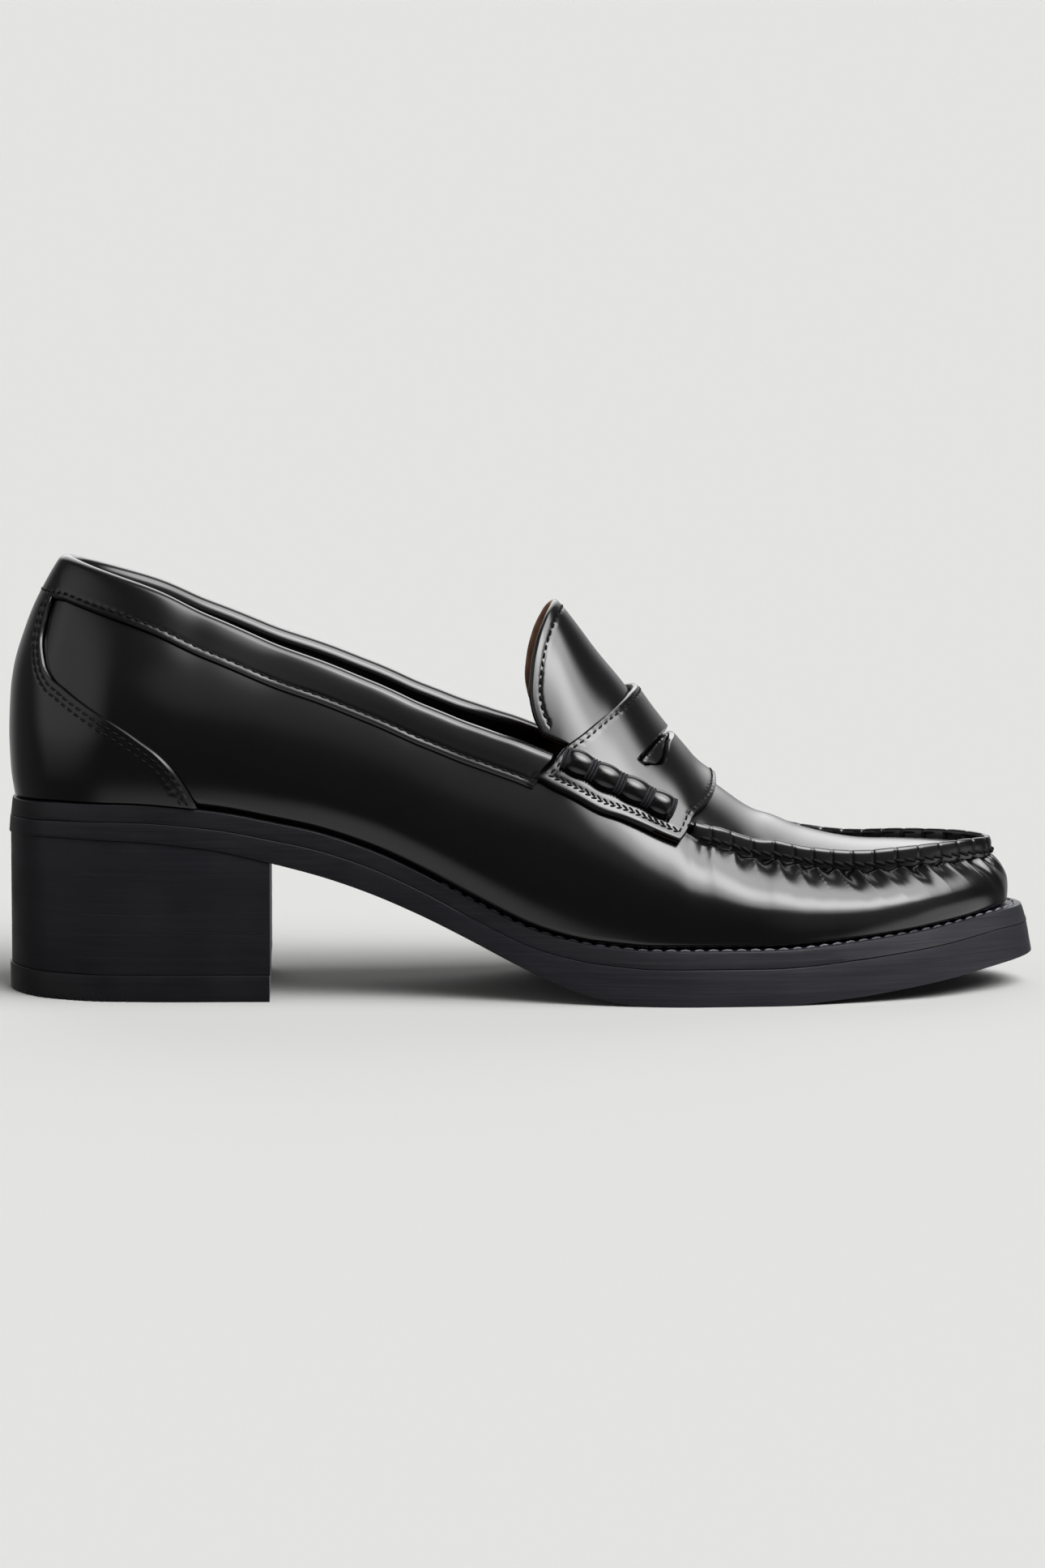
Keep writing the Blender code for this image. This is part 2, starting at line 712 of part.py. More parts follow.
def add_strap(mat):
    """Saddle strap over the instep, with the slot cut through it."""
    rows = strap_rows()
    outer = []
    inner = []
    bands = (("strap_back", "slot_back", 3), ("slot_back", "slot_front", 1), ("slot_front", "strap_front", 4))
    for kind, sign, value in rows:
        across = 1.0 if kind == "flap" else value
        lean = value * FLAP_LEAN if kind == "flap" else 0.0
        out_row = []
        in_row = []
        for first, second, steps in bands:
            start = place_of(EDGE[first](across)) - (lean if first == "strap_back" else 0.0)
            end = place_of(EDGE[second](across))
            count = steps + 1 if second == "strap_front" else steps
            for k in range(count):
                x = start + (end - start) * k / steps
                out_row.append(strap_point(kind, sign, value, x, GAP + STRAP_THICKNESS))
                in_row.append(strap_point(kind, sign, value, x, GAP))
        outer.append(out_row)
        inner.append(in_row)
    first_slot = bands[0][2]
    slot_rows = [i for i, row in enumerate(rows) if row[0] == "cap" and row[2] <= SLOT_END]

    def present(i, j):
        hole = j == first_slot and slot_rows[0] <= i < slot_rows[-1]
        return not hole

    return add_shell("saddle_strap", outer, inner, mat, present)


def add_roll(name, sign, mat):
    """Rolled end of the strap: a tube drawn in by its thread wraps."""
    start = place_of(EDGE["strap_back"](1.0)) + ROLL_END
    end = place_of(EDGE["strap_front"](1.0)) - ROLL_END
    steps = ROLL_WRAPS * 6
    sides = 8
    rings = []
    for i in range(steps + 1):
        share = i / steps
        x = start + (end - start) * share
        waist = abs(math.sin(math.pi * ROLL_WRAPS * share))
        radius = ROLL_RADIUS * (0.74 + 0.26 * math.sqrt(waist))
        base = strap_point("flap", sign, 0.0, x, 0.0)
        seam = strap_point("flap", sign, 0.0, x, 1.0) - base
        centre = base + unit(seam) * (2 * GAP + STRAP_THICKNESS + ROLL_RADIUS)
        rings.append((centre, radius, unit(seam)))
    points = []
    for i, (centre, radius, outward) in enumerate(rings):
        before = rings[max(i - 1, 0)][0]
        after = rings[min(i + 1, steps)][0]
        along = unit(after - before)
        across = unit(np.cross(along, outward))
        upward = np.cross(across, along)
        for k in range(sides):
            angle = 2 * math.pi * k / sides
            points.append(centre + radius * (math.cos(angle) * upward + math.sin(angle) * across))
    faces = []
    for i in range(steps):
        for k in range(sides):
            a = i * sides + k
            b = i * sides + (k + 1) % sides
            faces.append([a, b, b + sides, a + sides])
    faces.append(list(range(sides)))
    faces.append([steps * sides + k for k in reversed(range(sides))])
    return add_solid(name, points, faces, mat)


def binding_up(turn):
    """Height share of the binding's lower edge."""
    x = ring_point(turn, 1.0)[0]
    return 1 - BINDING_DEPTH / (top_line(x) - foot_line(x))


def add_counter(mat):
    """Counter overlay on the back of the quarters, up to the binding."""
    outer = []
    inner = []
    for i in range(-COUNTER_STEPS, COUNTER_STEPS + 1):
        out_row = []
        in_row = []
        for k in range(COUNTER_ROWS + 1):
            share = k / COUNTER_ROWS
            limit = binding_up(0.0) - 2 * GAP / COLLAR_RISE
            up = share * limit
            edge = turn_at(place_of(COUNTER_LINE(up / limit)), up)
            turn = edge * i / COUNTER_STEPS
            lower = binding_up(turn) - 2 * GAP / COLLAR_RISE
            up = share * lower
            point = ring_point(turn, up)
            normal = ring_normal(turn, up)
            if k == 0:
                normal = unit(np.array((normal[0], normal[1], 0.0)))
            low = point + normal * GAP
            high = point + normal * (GAP + COUNTER_THICKNESS)
            if k == 0:
                low[2] = foot_line(low[0])
                high[2] = foot_line(high[0])
            out_row.append(high)
            in_row.append(low)
        outer.append(out_row)
        inner.append(in_row)
    return add_shell("heel_counter", outer, inner, mat)


def add_binding(mat):
    """Folded band over the collar, from strap to strap."""
    outer = []
    inner = []
    end = turn_at(place_of(EDGE["strap_back"](1.0)) - 0.0022, 1.0)
    stations, throat_row = ring_stations()
    half = [turn for turn in stations[1:throat_row] if turn < end - 0.02] + [end]
    for turn in [-t for t in reversed(half)] + [0.0] + half:
        low = binding_up(turn)
        out_row = []
        in_row = []
        for k in range(4):
            up = low + (1 - low) * k / 3
            point = ring_point(turn, up)
            normal = ring_normal(turn, up)
            out_row.append(point + normal * (GAP + BINDING_THICKNESS))
            in_row.append(point + normal * GAP)
        rim = ring_point(turn, 1.0)
        normal = ring_normal(turn, 1.0)
        rise = unit(ring_point(turn, 1.0) - ring_point(turn, 0.97))
        out_row.append(rim + rise * (GAP + BINDING_THICKNESS) + normal * GAP)
        in_row.append(rim + rise * GAP + normal * GAP / 2)
        under = normal * WALL
        out_row.append(rim + rise * (GAP + BINDING_THICKNESS) - under - normal * GAP)
        in_row.append(rim + rise * GAP - under - normal * GAP / 2)
        for k in range(3, -1, -1):
            up = low + (1 - low) * k / 3
            point = ring_point(turn, up)
            normal = ring_normal(turn, up)
            out_row.append(point - normal * (WALL + GAP + BINDING_THICKNESS))
            in_row.append(point - normal * (WALL + GAP))
        outer.append(out_row)
        inner.append(in_row)
    return add_shell("collar_binding", outer, inner, mat)


def build():
    for obj in list(bpy.data.objects):
        bpy.data.objects.remove(obj, do_unlink=True)
    polished = material("polished_leather", BLACK_POLISHED, 0.15)
    edge = material("sole_edge", BLACK_EDGE, 0.45)
    lining = material("lining_leather", BROWN_LINING, 0.55)
    toe = SHOE_LENGTH / 2
    breast = -SHOE_LENGTH / 2 + HEEL_LENGTH
    add_layer("heel_top_piece", lambda x: 0.0, lambda x: TOP_PIECE_HEIGHT, 0.0, 0.0, breast, edge)
    add_layer("heel_block", lambda x: TOP_PIECE_HEIGHT + GAP, lambda x: sole_under(x) - GAP,
              HEEL_INSET, HEEL_INSET, breast, edge)
    add_layer("outsole", sole_under, sole_over, 0.0, WELT_LEAN / 3, toe, edge, 0.0, SOLE_LEAN)
    add_layer("welt", welt_under, welt_over, WELT_LEAN / 2, WELT_LEAN, toe, edge, SOLE_LEAN, 2 * SOLE_LEAN)
    add_insole(lining)
    add_upper(polished)
    add_tongue(polished)
    add_strap(polished)
    add_roll("beef_roll_outer", 1, polished)
    add_roll("beef_roll_inner", -1, polished)
    add_counter(polished)
    add_binding(polished)


build()
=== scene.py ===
import math
import bpy
import bmesh
import numpy as np
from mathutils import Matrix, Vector


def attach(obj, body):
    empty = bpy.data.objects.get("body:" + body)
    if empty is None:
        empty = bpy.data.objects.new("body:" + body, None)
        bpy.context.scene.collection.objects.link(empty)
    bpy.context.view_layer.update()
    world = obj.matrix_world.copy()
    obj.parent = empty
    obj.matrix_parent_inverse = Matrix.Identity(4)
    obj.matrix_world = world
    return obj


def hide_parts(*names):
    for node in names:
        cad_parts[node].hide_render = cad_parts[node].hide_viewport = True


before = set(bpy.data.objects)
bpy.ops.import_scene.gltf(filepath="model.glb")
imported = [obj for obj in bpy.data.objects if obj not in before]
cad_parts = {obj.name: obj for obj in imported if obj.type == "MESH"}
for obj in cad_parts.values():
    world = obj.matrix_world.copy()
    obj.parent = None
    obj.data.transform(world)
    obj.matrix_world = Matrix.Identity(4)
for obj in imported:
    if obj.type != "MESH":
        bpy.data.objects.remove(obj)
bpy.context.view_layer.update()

mm = 0.001

# Camera: the shoe's outer side seen square on, a little from above, through a long lens
cameraView = {
    "place": (-0.045, -1.830, 0.278),
    "target": (0.0002, 0.0, 0.0505),
    "lens": 252.0,
    "sensor": 36.0,
}


def addCamera(view):
    data = bpy.data.cameras.new("camera")
    camera = bpy.data.objects.new("camera", data)
    bpy.context.scene.collection.objects.link(camera)
    camera.location = view["place"]
    look = Vector(view["target"]) - Vector(view["place"])
    camera.rotation_euler = look.to_track_quat("-Z", "Y").to_euler()
    data.sensor_fit = "HORIZONTAL"
    data.sensor_width = view["sensor"]
    data.lens = view["lens"]
    data.clip_end = 200
    bpy.context.scene.camera = camera


addCamera(cameraView)

# The last, in shares of the shoe's own sizes
last = {
    "length": 0.258, "ballHalf": 0.04325, "heelHeight": 0.0347, "heelLength": 0.0655,
    "toeSpring": 0.0081, "toeSwing": 0.0015, "sideShift": -0.00175,
    "sole": 0.0092, "welt": 0.0041, "topPiece": 0.0066, "insole": 0.0024, "wall": 0.0020,
    "collarRise": 0.0572, "toeRise": 0.0143, "instepRise": 0.0262,
    "ridge": 0.0040, "ridgeWide": 0.0019, "plugLift": 0.0025, "gap": 0.00035,
    "backSetback": 0.0148, "toeSetback": 0.0103, "bellyUp": 0.27,
    "flapDrop": 0.0064, "flapLean": 0.0060, "bindingDepth": 0.0080,
    "strapThick": 0.0021, "tongueThick": 0.0022, "counterThick": 0.0011, "bindingThick": 0.0010,
    "rollEnd": 0.0034, "heelInset": 0.0004, "soleLean": 0.0013, "weltLean": 0.0009,
}

solePlan = {
    "along": (0, 0.04, 0.10, 0.18, 0.26, 0.34, 0.42, 0.50, 0.58, 0.66, 0.74, 0.82, 0.90, 0.95, 0.98, 1),
    "outer": (0, 0.510, 0.662, 0.690, 0.690, 0.690, 0.708, 0.786, 0.908, 0.972, 0.950, 0.848, 0.680,
              0.470, 0.300, 0),
    "inner": (0, 0.510, 0.655, 0.678, 0.660, 0.618, 0.610, 0.690, 0.862, 1.000, 1.022, 0.925, 0.742,
              0.515, 0.330, 0),
}
soleProfile = {
    "along": (0, 0.058, 0.120, 0.198, 0.256, 0.306, 0.353, 0.400, 0.448, 0.495, 0.527, 0.565, 0.593,
              0.622, 0.733, 0.812, 0.864, 0.915, 0.965, 1),
    "heel": (1.141, 1.170, 1.158, 1.098, 1.000, 0.899, 0.775, 0.622, 0.444, 0.265, 0.156, 0.060, 0.017,
             0, 0, 0, 0, 0, 0, 0),
    "toe": (0, 0, 0, 0, 0, 0, 0, 0, 0, 0, 0, 0, 0, 0, 0, 0.150, 0.350, 0.590, 0.850, 1),
    "thick": (0.45, 0.45, 0.50, 0.55, 0.62, 0.68, 0.69, 0.66, 0.62, 0.65, 0.76, 0.91, 0.99, 1, 1, 1,
              0.97, 0.94, 0.92, 0.82),
}
lastSections = {
    "along": (0, 0.04, 0.10, 0.18, 0.26, 0.34, 0.42, 0.50, 0.58, 0.66, 0.74, 0.82, 0.90, 0.95, 0.98, 1),
    "footOuter": (0, 0.452, 0.612, 0.652, 0.655, 0.660, 0.690, 0.758, 0.855, 0.900, 0.880, 0.792, 0.640,
                  0.458, 0.296, 0),
    "footInner": (0, 0.452, 0.605, 0.640, 0.620, 0.585, 0.590, 0.662, 0.812, 0.925, 0.950, 0.865, 0.698,
                  0.500, 0.322, 0),
    "bellyOuter": (0, 0.485, 0.655, 0.702, 0.715, 0.735, 0.772, 0.825, 0.890, 0.922, 0.902, 0.815, 0.665,
                   0.482, 0.312, 0),
    "bellyInner": (0, 0.485, 0.648, 0.688, 0.682, 0.672, 0.690, 0.740, 0.850, 0.948, 0.972, 0.888, 0.722,
                   0.522, 0.338, 0),
    "top": (0, 0.250, 0.365, 0.465, 0.530, 0.570, 0.605, 0.650, 0.690, 0.690, 0.610, 0.530, 0.430, 0.298,
            0.180, 0),
    "power": (1.7, 1.7, 1.7, 1.7, 1.7, 1.7, 1.7, 1.8, 2.0, 2.1, 2.2, 2.2, 2.2, 2.2, 2.2, 2.2),
}
topRows = {
    "along": (0, 0.055, 0.100, 0.145, 0.190, 0.235, 0.280, 0.320, 0.365, 0.410, 0.455, 0.490, 0.528,
              0.580, 0.608, 0.634, 0.664, 0.703, 0.752, 0.795, 0.838, 0.865, 0.895, 0.965, 1),
    "collar": (1, 0.925, 0.868, 0.800, 0.752, 0.714, 0.694, 0.684, 0.682, 0.700, 0.728, 0.746, 0.734,
               0.660, 0.609, 0.552, 0.488, 0.300, 0, 0, 0, 0, 0, 0, 0),
    "toe": (0, 0, 0, 0, 0, 0, 0, 0, 0, 0, 0, 0, 0, 0, 0, 0, 0, 0.540, 1.515, 1.342, 1.200, 1.148, 1.124,
            1.022, 0.920),
    "crest": (2.105, 2.105, 2.055, 2.005, 1.955, 1.905, 1.855, 1.805, 1.755, 1.705, 1.655, 1.565, 1.400,
              1.055, 0.885, 0.705, 0.520, 0.352, 0.220, 0.158, 0.118, 0.097, 0.076, 0.028, 0),
}
endRows = {
    "up": (0, 0.12, 0.28, 0.46, 0.56, 0.71, 0.87, 1),
    "back": (0.190, 0.125, 0.100, 0.130, 0.185, 0.360, 0.630, 1),
    "front": (0.640, 0.600, 0.592, 0.612, 0.650, 0.740, 0.880, 1),
}
instepRows = {
    "across": (0, 0.15, 0.40, 0.60, 0.73, 0.83, 0.90, 0.96, 1),
    "tongue": (0.5325, 0.5305, 0.5222, 0.5127, 0.5074, 0.5053, 0.5085, 0.5185, 0.5270),
    "throat": (0.6190, 0.6170, 0.6090, 0.5970, 0.5855, 0.5740, 0.5640, 0.5530, 0.5440),
    "strapBack": (0.6042, 0.6028, 0.5961, 0.5851, 0.5732, 0.5618, 0.5522, 0.5402, 0.5310),
    "slotBack": (0.6368, 0.6350, 0.6285, 0.6205, 0.6135, 0.6065, 0.6030, 0.6000, 0.5980),
    "slotFront": (0.6398, 0.6392, 0.6350, 0.6324, 0.6268, 0.6115, 0.6080, 0.6060, 0.6050),
    "strapFront": (0.6850, 0.6852, 0.6840, 0.6808, 0.6758, 0.6700, 0.6642, 0.6600, 0.6565),
}
flapRows = {
    "along": (0.515, 0.530, 0.562, 0.596, 0.626, 0.656),
    "drop": (0.90, 1.00, 1.04, 0.84, 0.70, 0.62),
}
counterRows = {
    "up": (0, 0.063, 0.212, 0.301, 0.365, 0.402, 0.471, 0.534, 0.566, 0.607, 0.679, 0.776, 0.889, 1),
    "along": (0.186, 0.181, 0.165, 0.149, 0.130, 0.1185, 0.0930, 0.0695, 0.0590, 0.0480, 0.0405, 0.0380,
              0.0420, 0.0490),
}


def smoothCurve(xs, ys):    # never overshoots a flat or a peak
    xs = np.array(xs, float)
    ys = np.array(ys, float)
    steps = np.diff(xs)
    rises = np.diff(ys) / steps
    slopes = np.zeros(len(xs))
    for i in range(1, len(xs) - 1):
        if rises[i - 1] * rises[i] > 0:
            before = 2 * steps[i] + steps[i - 1]
            after = steps[i] + 2 * steps[i - 1]
            slopes[i] = (before + after) / (before / rises[i - 1] + after / rises[i])
    slopes[0] = rises[0]
    slopes[-1] = rises[-1]

    def value(x):
        x = np.clip(x, xs[0], xs[-1])
        i = np.clip(np.searchsorted(xs, x, side="right") - 1, 0, len(steps) - 1)
        h = steps[i]
        t = (x - xs[i]) / h
        stay = (1 + 2 * t) * (1 - t) ** 2 * ys[i] + t * t * (3 - 2 * t) * ys[i + 1]
        return stay + t * (1 - t) ** 2 * h * slopes[i] - t * t * (1 - t) * h * slopes[i + 1]
    return value


def column(rows, name, key="along"):
    return smoothCurve(rows[key], rows[name])


def widthColumn(rows, name):    # the square is smooth, so both ends come out round
    squared = smoothCurve(rows["along"], np.array(rows[name], float) ** 2)
    return lambda along: last["ballHalf"] * np.sqrt(np.maximum(squared(along), 0))


def ramp(value, start, end):
    t = np.clip((value - start) / (end - start), 0, 1)
    return t * t * (3 - 2 * t)


soleSide = (widthColumn(solePlan, "outer"), widthColumn(solePlan, "inner"))
footSide = (widthColumn(lastSections, "footOuter"), widthColumn(lastSections, "footInner"))
bellySide = (widthColumn(lastSections, "bellyOuter"), widthColumn(lastSections, "bellyInner"))
topWidth = widthColumn(lastSections, "top")
fullness = column(lastSections, "power")
heelLift, toeLift, soleDepth = (column(soleProfile, n) for n in ("heel", "toe", "thick"))
collarShare, toeShare, crestShare = (column(topRows, n) for n in ("collar", "toe", "crest"))
endBack, endFront = (column(endRows, n, "up") for n in ("back", "front"))
flapLine = column(flapRows, "drop")
counterLine = column(counterRows, "along", "up")
edgeLine = {n: column(instepRows, n, "across") for n in instepRows if n != "across"}
gap = last["gap"]


def alongOf(x):
    return x / last["length"] + 0.5


def placeOf(along):
    return (along - 0.5) * last["length"]


def centreLine(x):
    return last["sideShift"] + last["toeSwing"] * ramp(alongOf(x), 0.45, 1.0)


def soleUnder(x):
    return heelLift(alongOf(x)) * last["heelHeight"] + toeLift(alongOf(x)) * last["toeSpring"]


def soleOver(x):
    return soleUnder(x) + soleDepth(alongOf(x)) * last["sole"]


def weltOver(x):
    return soleOver(x) + gap + last["welt"]


def footLine(x):
    return weltOver(x) + gap


def backEnd(up):
    return -last["length"] / 2 + endBack(up) * last["backSetback"]


def frontEnd(up):
    return last["length"] / 2 - endFront(up) * last["toeSetback"]


def topLine(x):
    along = (x - backEnd(1.0)) / (frontEnd(1.0) - backEnd(1.0))
    return footLine(x) + collarShare(along) * last["collarRise"] + toeShare(along) * last["toeRise"]


def ringPoint(turn, up):    # quarters and vamp: turn 0 at the back, pi at the toe, outer side positive
    turn, up = np.broadcast_arrays(np.asarray(turn, float), np.asarray(up, float))
    turn = (turn + np.pi) % (2 * np.pi) - np.pi
    outer = turn >= 0
    along = (1 - np.cos(turn)) / 2
    x = backEnd(up) + along * (frontEnd(up) - backEnd(up))
    foot = np.where(outer, footSide[0](along), footSide[1](along))
    belly = np.where(outer, bellySide[0](along), bellySide[1](along))
    bellyUp = last["bellyUp"]
    low = belly - (belly - foot) * ((bellyUp - up) / bellyUp) ** 2
    rise = np.clip((up - bellyUp) / (1 - bellyUp), 0, None)
    high = belly - (belly - topWidth(along)) * rise ** fullness(along)
    half = np.where(up < bellyUp, low, high)
    y = centreLine(x) + np.where(outer, -half, half)
    z = footLine(x) + up * (topLine(x) - footLine(x))
    return np.stack((x, y, z), -1)


def unit(v):
    return v / np.maximum(np.linalg.norm(v, axis=-1, keepdims=True), 1e-12)


def ringNormal(turn, up):
    d = 0.004
    around = ringPoint(turn + d, up) - ringPoint(turn - d, up)
    upward = ringPoint(turn, np.minimum(up + d, 1)) - ringPoint(turn, np.maximum(up - d, 0))
    return unit(np.cross(around, upward))


def capPoint(x, across):    # plug, instep and tongue: across is -1 at the outer seam, 1 at the inner
    x, across = np.broadcast_arrays(np.asarray(x, float), np.asarray(across, float))
    back = backEnd(1.0)
    front = frontEnd(1.0) - last["ridgeWide"]
    along = np.minimum((x - back) / (front - back), 1.0)
    half = topWidth(along) * (1 - last["ridgeWide"] / topWidth(0.66))
    y = centreLine(x) + across * half
    crown = crestShare(along) * last["instepRise"]
    z = topLine(x) + last["plugLift"] + crown * (1 - across ** 2)
    return np.stack((x, y, z), -1)


def capNormal(x, across):
    x = np.minimum(x, frontEnd(1.0) - last["ridgeWide"] - 0.0006)
    forward = capPoint(x + 0.0004, across) - capPoint(x - 0.0004, across)
    sideways = capPoint(x, across + 0.004) - capPoint(x, across - 0.004)
    return unit(np.cross(forward, sideways))


def turnAt(x, up):
    share = (x - backEnd(up)) / (frontEnd(up) - backEnd(up))
    return np.arccos(1 - 2 * np.clip(share, 0, 1))


# Mesh helpers

def spread(count, first):    # places from 0 to 1, closer together over a rounded rim
    return np.concatenate((np.array((0, 0.06, 0.22, 0.5)) * first, np.linspace(first, 1, count)))


def alone():
    if bpy.context.object and bpy.context.object.mode != "OBJECT":
        bpy.ops.object.mode_set(mode="OBJECT")
    bpy.ops.object.select_all(action="DESELECT")


def pick(piece):
    alone()
    piece.select_set(True)
    bpy.context.view_layer.objects.active = piece


def readPoints(mesh):
    co = np.empty(len(mesh.vertices) * 3)
    mesh.vertices.foreach_get("co", co)
    return co.reshape(-1, 3)


def writePoints(mesh, points):
    mesh.vertices.foreach_set("co", np.ascontiguousarray(points, dtype=np.float64).ravel())
    mesh.update()


def layGrid(name, points):    # a flat grid with one vertex for each of points[i, j]
    alone()
    columns, rows = points.shape[:2]
    bpy.ops.mesh.primitive_grid_add(x_subdivisions=columns - 1, y_subdivisions=rows - 1, size=1)
    skin = bpy.context.object
    skin.name = name
    skin.data.name = name
    return skin


def gridPlaces(skin, points):    # i and j of each vertex
    co = readPoints(skin.data)
    ends = np.array(points.shape[:2]) - 1
    places = np.clip(np.rint((co[:, :2] + 0.5) * ends).astype(int), 0, ends)
    return places[:, 0], places[:, 1]


def laySkin(name, points):    # a single sheet through points[i, j]
    skin = layGrid(name, points)
    writePoints(skin.data, points[gridPlaces(skin, points)])
    return skin


def finishMesh(skin, angle=35, weld=0.000004, outside=True):
    pick(skin)
    bpy.ops.object.mode_set(mode="EDIT")
    bpy.ops.mesh.select_all(action="SELECT")
    if weld:
        bpy.ops.mesh.remove_doubles(threshold=weld)
    if outside:
        bpy.ops.mesh.normals_make_consistent(inside=False)
    bpy.ops.object.mode_set(mode="OBJECT")
    bpy.ops.object.shade_smooth_by_angle(angle=math.radians(angle))


def gridNormals(points, closed=False):    # points[i, j] laid out over us and vs
    if closed:
        across = np.roll(points[:-1], -1, 0) - np.roll(points[:-1], 1, 0)
        across = np.concatenate((across, across[:1]))
    else:
        across = np.gradient(points, axis=0)
    return unit(np.cross(across, np.gradient(points, axis=1)))


def lineDistance(points, lines):    # distance to the nearest line, the place along it and its number
    best = np.full(len(points), 1e9)
    run = np.zeros(len(points))
    which = np.zeros(len(points), int)
    for number, line in enumerate(lines):
        steps = np.linalg.norm(np.diff(line, axis=0), axis=1)
        length = np.concatenate(([0], np.cumsum(steps)))
        near = np.empty(len(points), int)
        for k in range(0, len(points), 4000):
            part = points[k:k + 4000]
            near[k:k + 4000] = ((part[:, None, :] - line[None, :, :]) ** 2).sum(-1).argmin(1)
        for shift in (-1, 0):
            a = np.clip(near + shift, 0, len(line) - 2)
            stretch = line[a + 1] - line[a]
            size = np.maximum((stretch ** 2).sum(-1), 1e-18)
            t = np.clip(((points - line[a]) * stretch).sum(-1) / size, 0, 1)
            gapTo = np.linalg.norm(points - line[a] - t[:, None] * stretch, axis=1)
            closer = gapTo < best
            best[closer] = gapTo[closer]
            run[closer] = (length[a] + t * steps[a])[closer]
            which[closer] = number
    return best, run, which


def sewnDip(sheet, spot):    # each row of stitches pulls in a groove, with a dimple at every needle hole
    off = ((spot["run"] / sheet["pitch"] + 0.5) % 1.0 - 0.5) * sheet["pitch"]
    needle = 0.00045
    dip = 0
    for depth in sheet["sewn"]:
        across = spot["edge"] - depth
        dip = dip - sheet["groove"] * np.exp(-(across / sheet["wide"]) ** 2)
        dip = dip - sheet["hole"] * np.exp(-(across / needle) ** 2 - (off / needle) ** 2)
    return np.where(np.isin(spot["border"], sheet["borders"]), dip, 0)


def laySlab(name, middle, sheet, hole=None, relief=None):
    # A sheet with rounded rims: middle[i, j] is its under side's guide, raised by the sheet's offset
    skin = layGrid(name, middle)
    lines = [middle[:, 0], middle[:, -1], middle[0], middle[-1]]    # borders 0 to 3
    if hole is not None:
        a, b, c, d = hole
        lines += [middle[a:b + 1, c], middle[a:b + 1, d], middle[a, c:d + 1], middle[b, c:d + 1]]
        i, j = gridPlaces(skin, middle)
        bm = bmesh.new()
        bm.from_mesh(skin.data)
        gone = []
        for f in bm.faces:
            fi = [i[v.index] for v in f.verts]
            fj = [j[v.index] for v in f.verts]
            if min(fi) >= a and max(fi) <= b and min(fj) >= c and max(fj) <= d:
                gone.append(f)
        bmesh.ops.delete(bm, geom=gone, context="FACES")
        bm.to_mesh(skin.data)
        bm.free()
    i, j = gridPlaces(skin, middle)
    base = middle[i, j]
    normal = gridNormals(middle)[i, j]
    edge, run, border = lineDistance(base, lines)
    inward = np.clip(edge / sheet["rim"], 0, 1)
    centre = sheet["offset"] + sheet["thick"] / 2
    swell = sheet["thick"] / 2 * np.sqrt(np.maximum(1 - (1 - inward) ** 2, 0))
    spot = {"x": base[:, 0], "column": j, "edge": edge, "run": run, "border": border}
    lift = sewnDip(sheet, spot) if "sewn" in sheet else 0
    if relief:
        lift = lift + relief(spot)
    over = base + normal * (centre + swell + lift * inward)[:, None]
    under = base + normal * (centre - swell)[:, None]
    pick(skin)
    double = skin.modifiers.new("sheet", "SOLIDIFY")
    double.thickness = 0.001
    double.offset = -1
    double.use_even_offset = False
    double.material_offset = 1
    double.material_offset_rim = 0
    skin.data.materials.append(None)
    skin.data.materials.append(None)
    bpy.ops.object.modifier_apply(modifier="sheet")
    writePoints(skin.data, np.concatenate((over, under)))
    return skin


def stitchBlock(segments=8, rings=6):
    alone()
    bpy.ops.mesh.primitive_uv_sphere_add(segments=segments, ring_count=rings, radius=1)
    ball = bpy.context.object
    co = readPoints(ball.data).copy()
    faces = [tuple(f.vertices) for f in ball.data.polygons]
    bpy.data.objects.remove(ball, do_unlink=True)
    return co[:, [2, 0, 1]], faces


def walk(row):    # even steps along a row's line
    line, normals, pitch = row["line"], row["normals"], row["pitch"]
    start, end = row.get("start", 0), row.get("end", 0)
    steps = np.linalg.norm(np.diff(line, axis=0), axis=1)
    length = np.concatenate(([0], np.cumsum(steps)))
    count = max(int((length[-1] - start - end) / pitch), 1)
    rest = (length[-1] - start - end - count * pitch) / 2
    s = start + rest + pitch * (np.arange(count) + 0.5)

    def read(values, places):
        return np.stack([np.interp(places, length, values[:, k]) for k in range(3)], -1)
    return read(line, s), unit(read(line, s + pitch / 3) - read(line, s - pitch / 3)), unit(read(normals, s))


def sew(name, rows, seed=3, finish=None):
    # rows: dictionaries with line, normals, pitch, long, wide, high and slant
    rng = np.random.default_rng(seed)
    ball, faces = block
    capsule = ball.copy()
    capsule[:, 0] = np.sign(ball[:, 0]) * np.abs(ball[:, 0]) ** 0.75
    points = []
    polys = []
    base = 0
    for row in rows:
        at, ahead, up = walk(row)
        side = unit(np.cross(up, ahead))
        for k in range(len(at)):
            turn = row.get("slant", 0.0) + rng.normal(0, row.get("loose", 0.05))
            forward = ahead[k] * math.cos(turn) + side[k] * math.sin(turn)
            sideways = np.cross(up[k], forward)
            long = row["long"] / 2 * rng.uniform(0.94, 1.06)
            wide = row["wide"] / 2 * rng.uniform(0.92, 1.08)
            sag = row.get("sag", 0.35) * row["wide"]
            height = row["high"] - sag * capsule[:, 0] ** 2
            flatPart = at[k] + forward * capsule[:, :1] * long + sideways * capsule[:, 1:2] * wide
            points.append(flatPart + up[k] * (capsule[:, 2:3] * wide * 0.85 + height[:, None]))
            polys += [tuple(v + base for v in f) for f in faces]
            base += len(ball)
    mesh = bpy.data.meshes.new(name)
    mesh.from_pydata(np.concatenate(points).tolist(), [], polys)
    threads = bpy.data.objects.new(name, mesh)
    bpy.context.scene.collection.objects.link(threads)
    mesh.shade_smooth()
    give(threads, (finish or thread,), ())


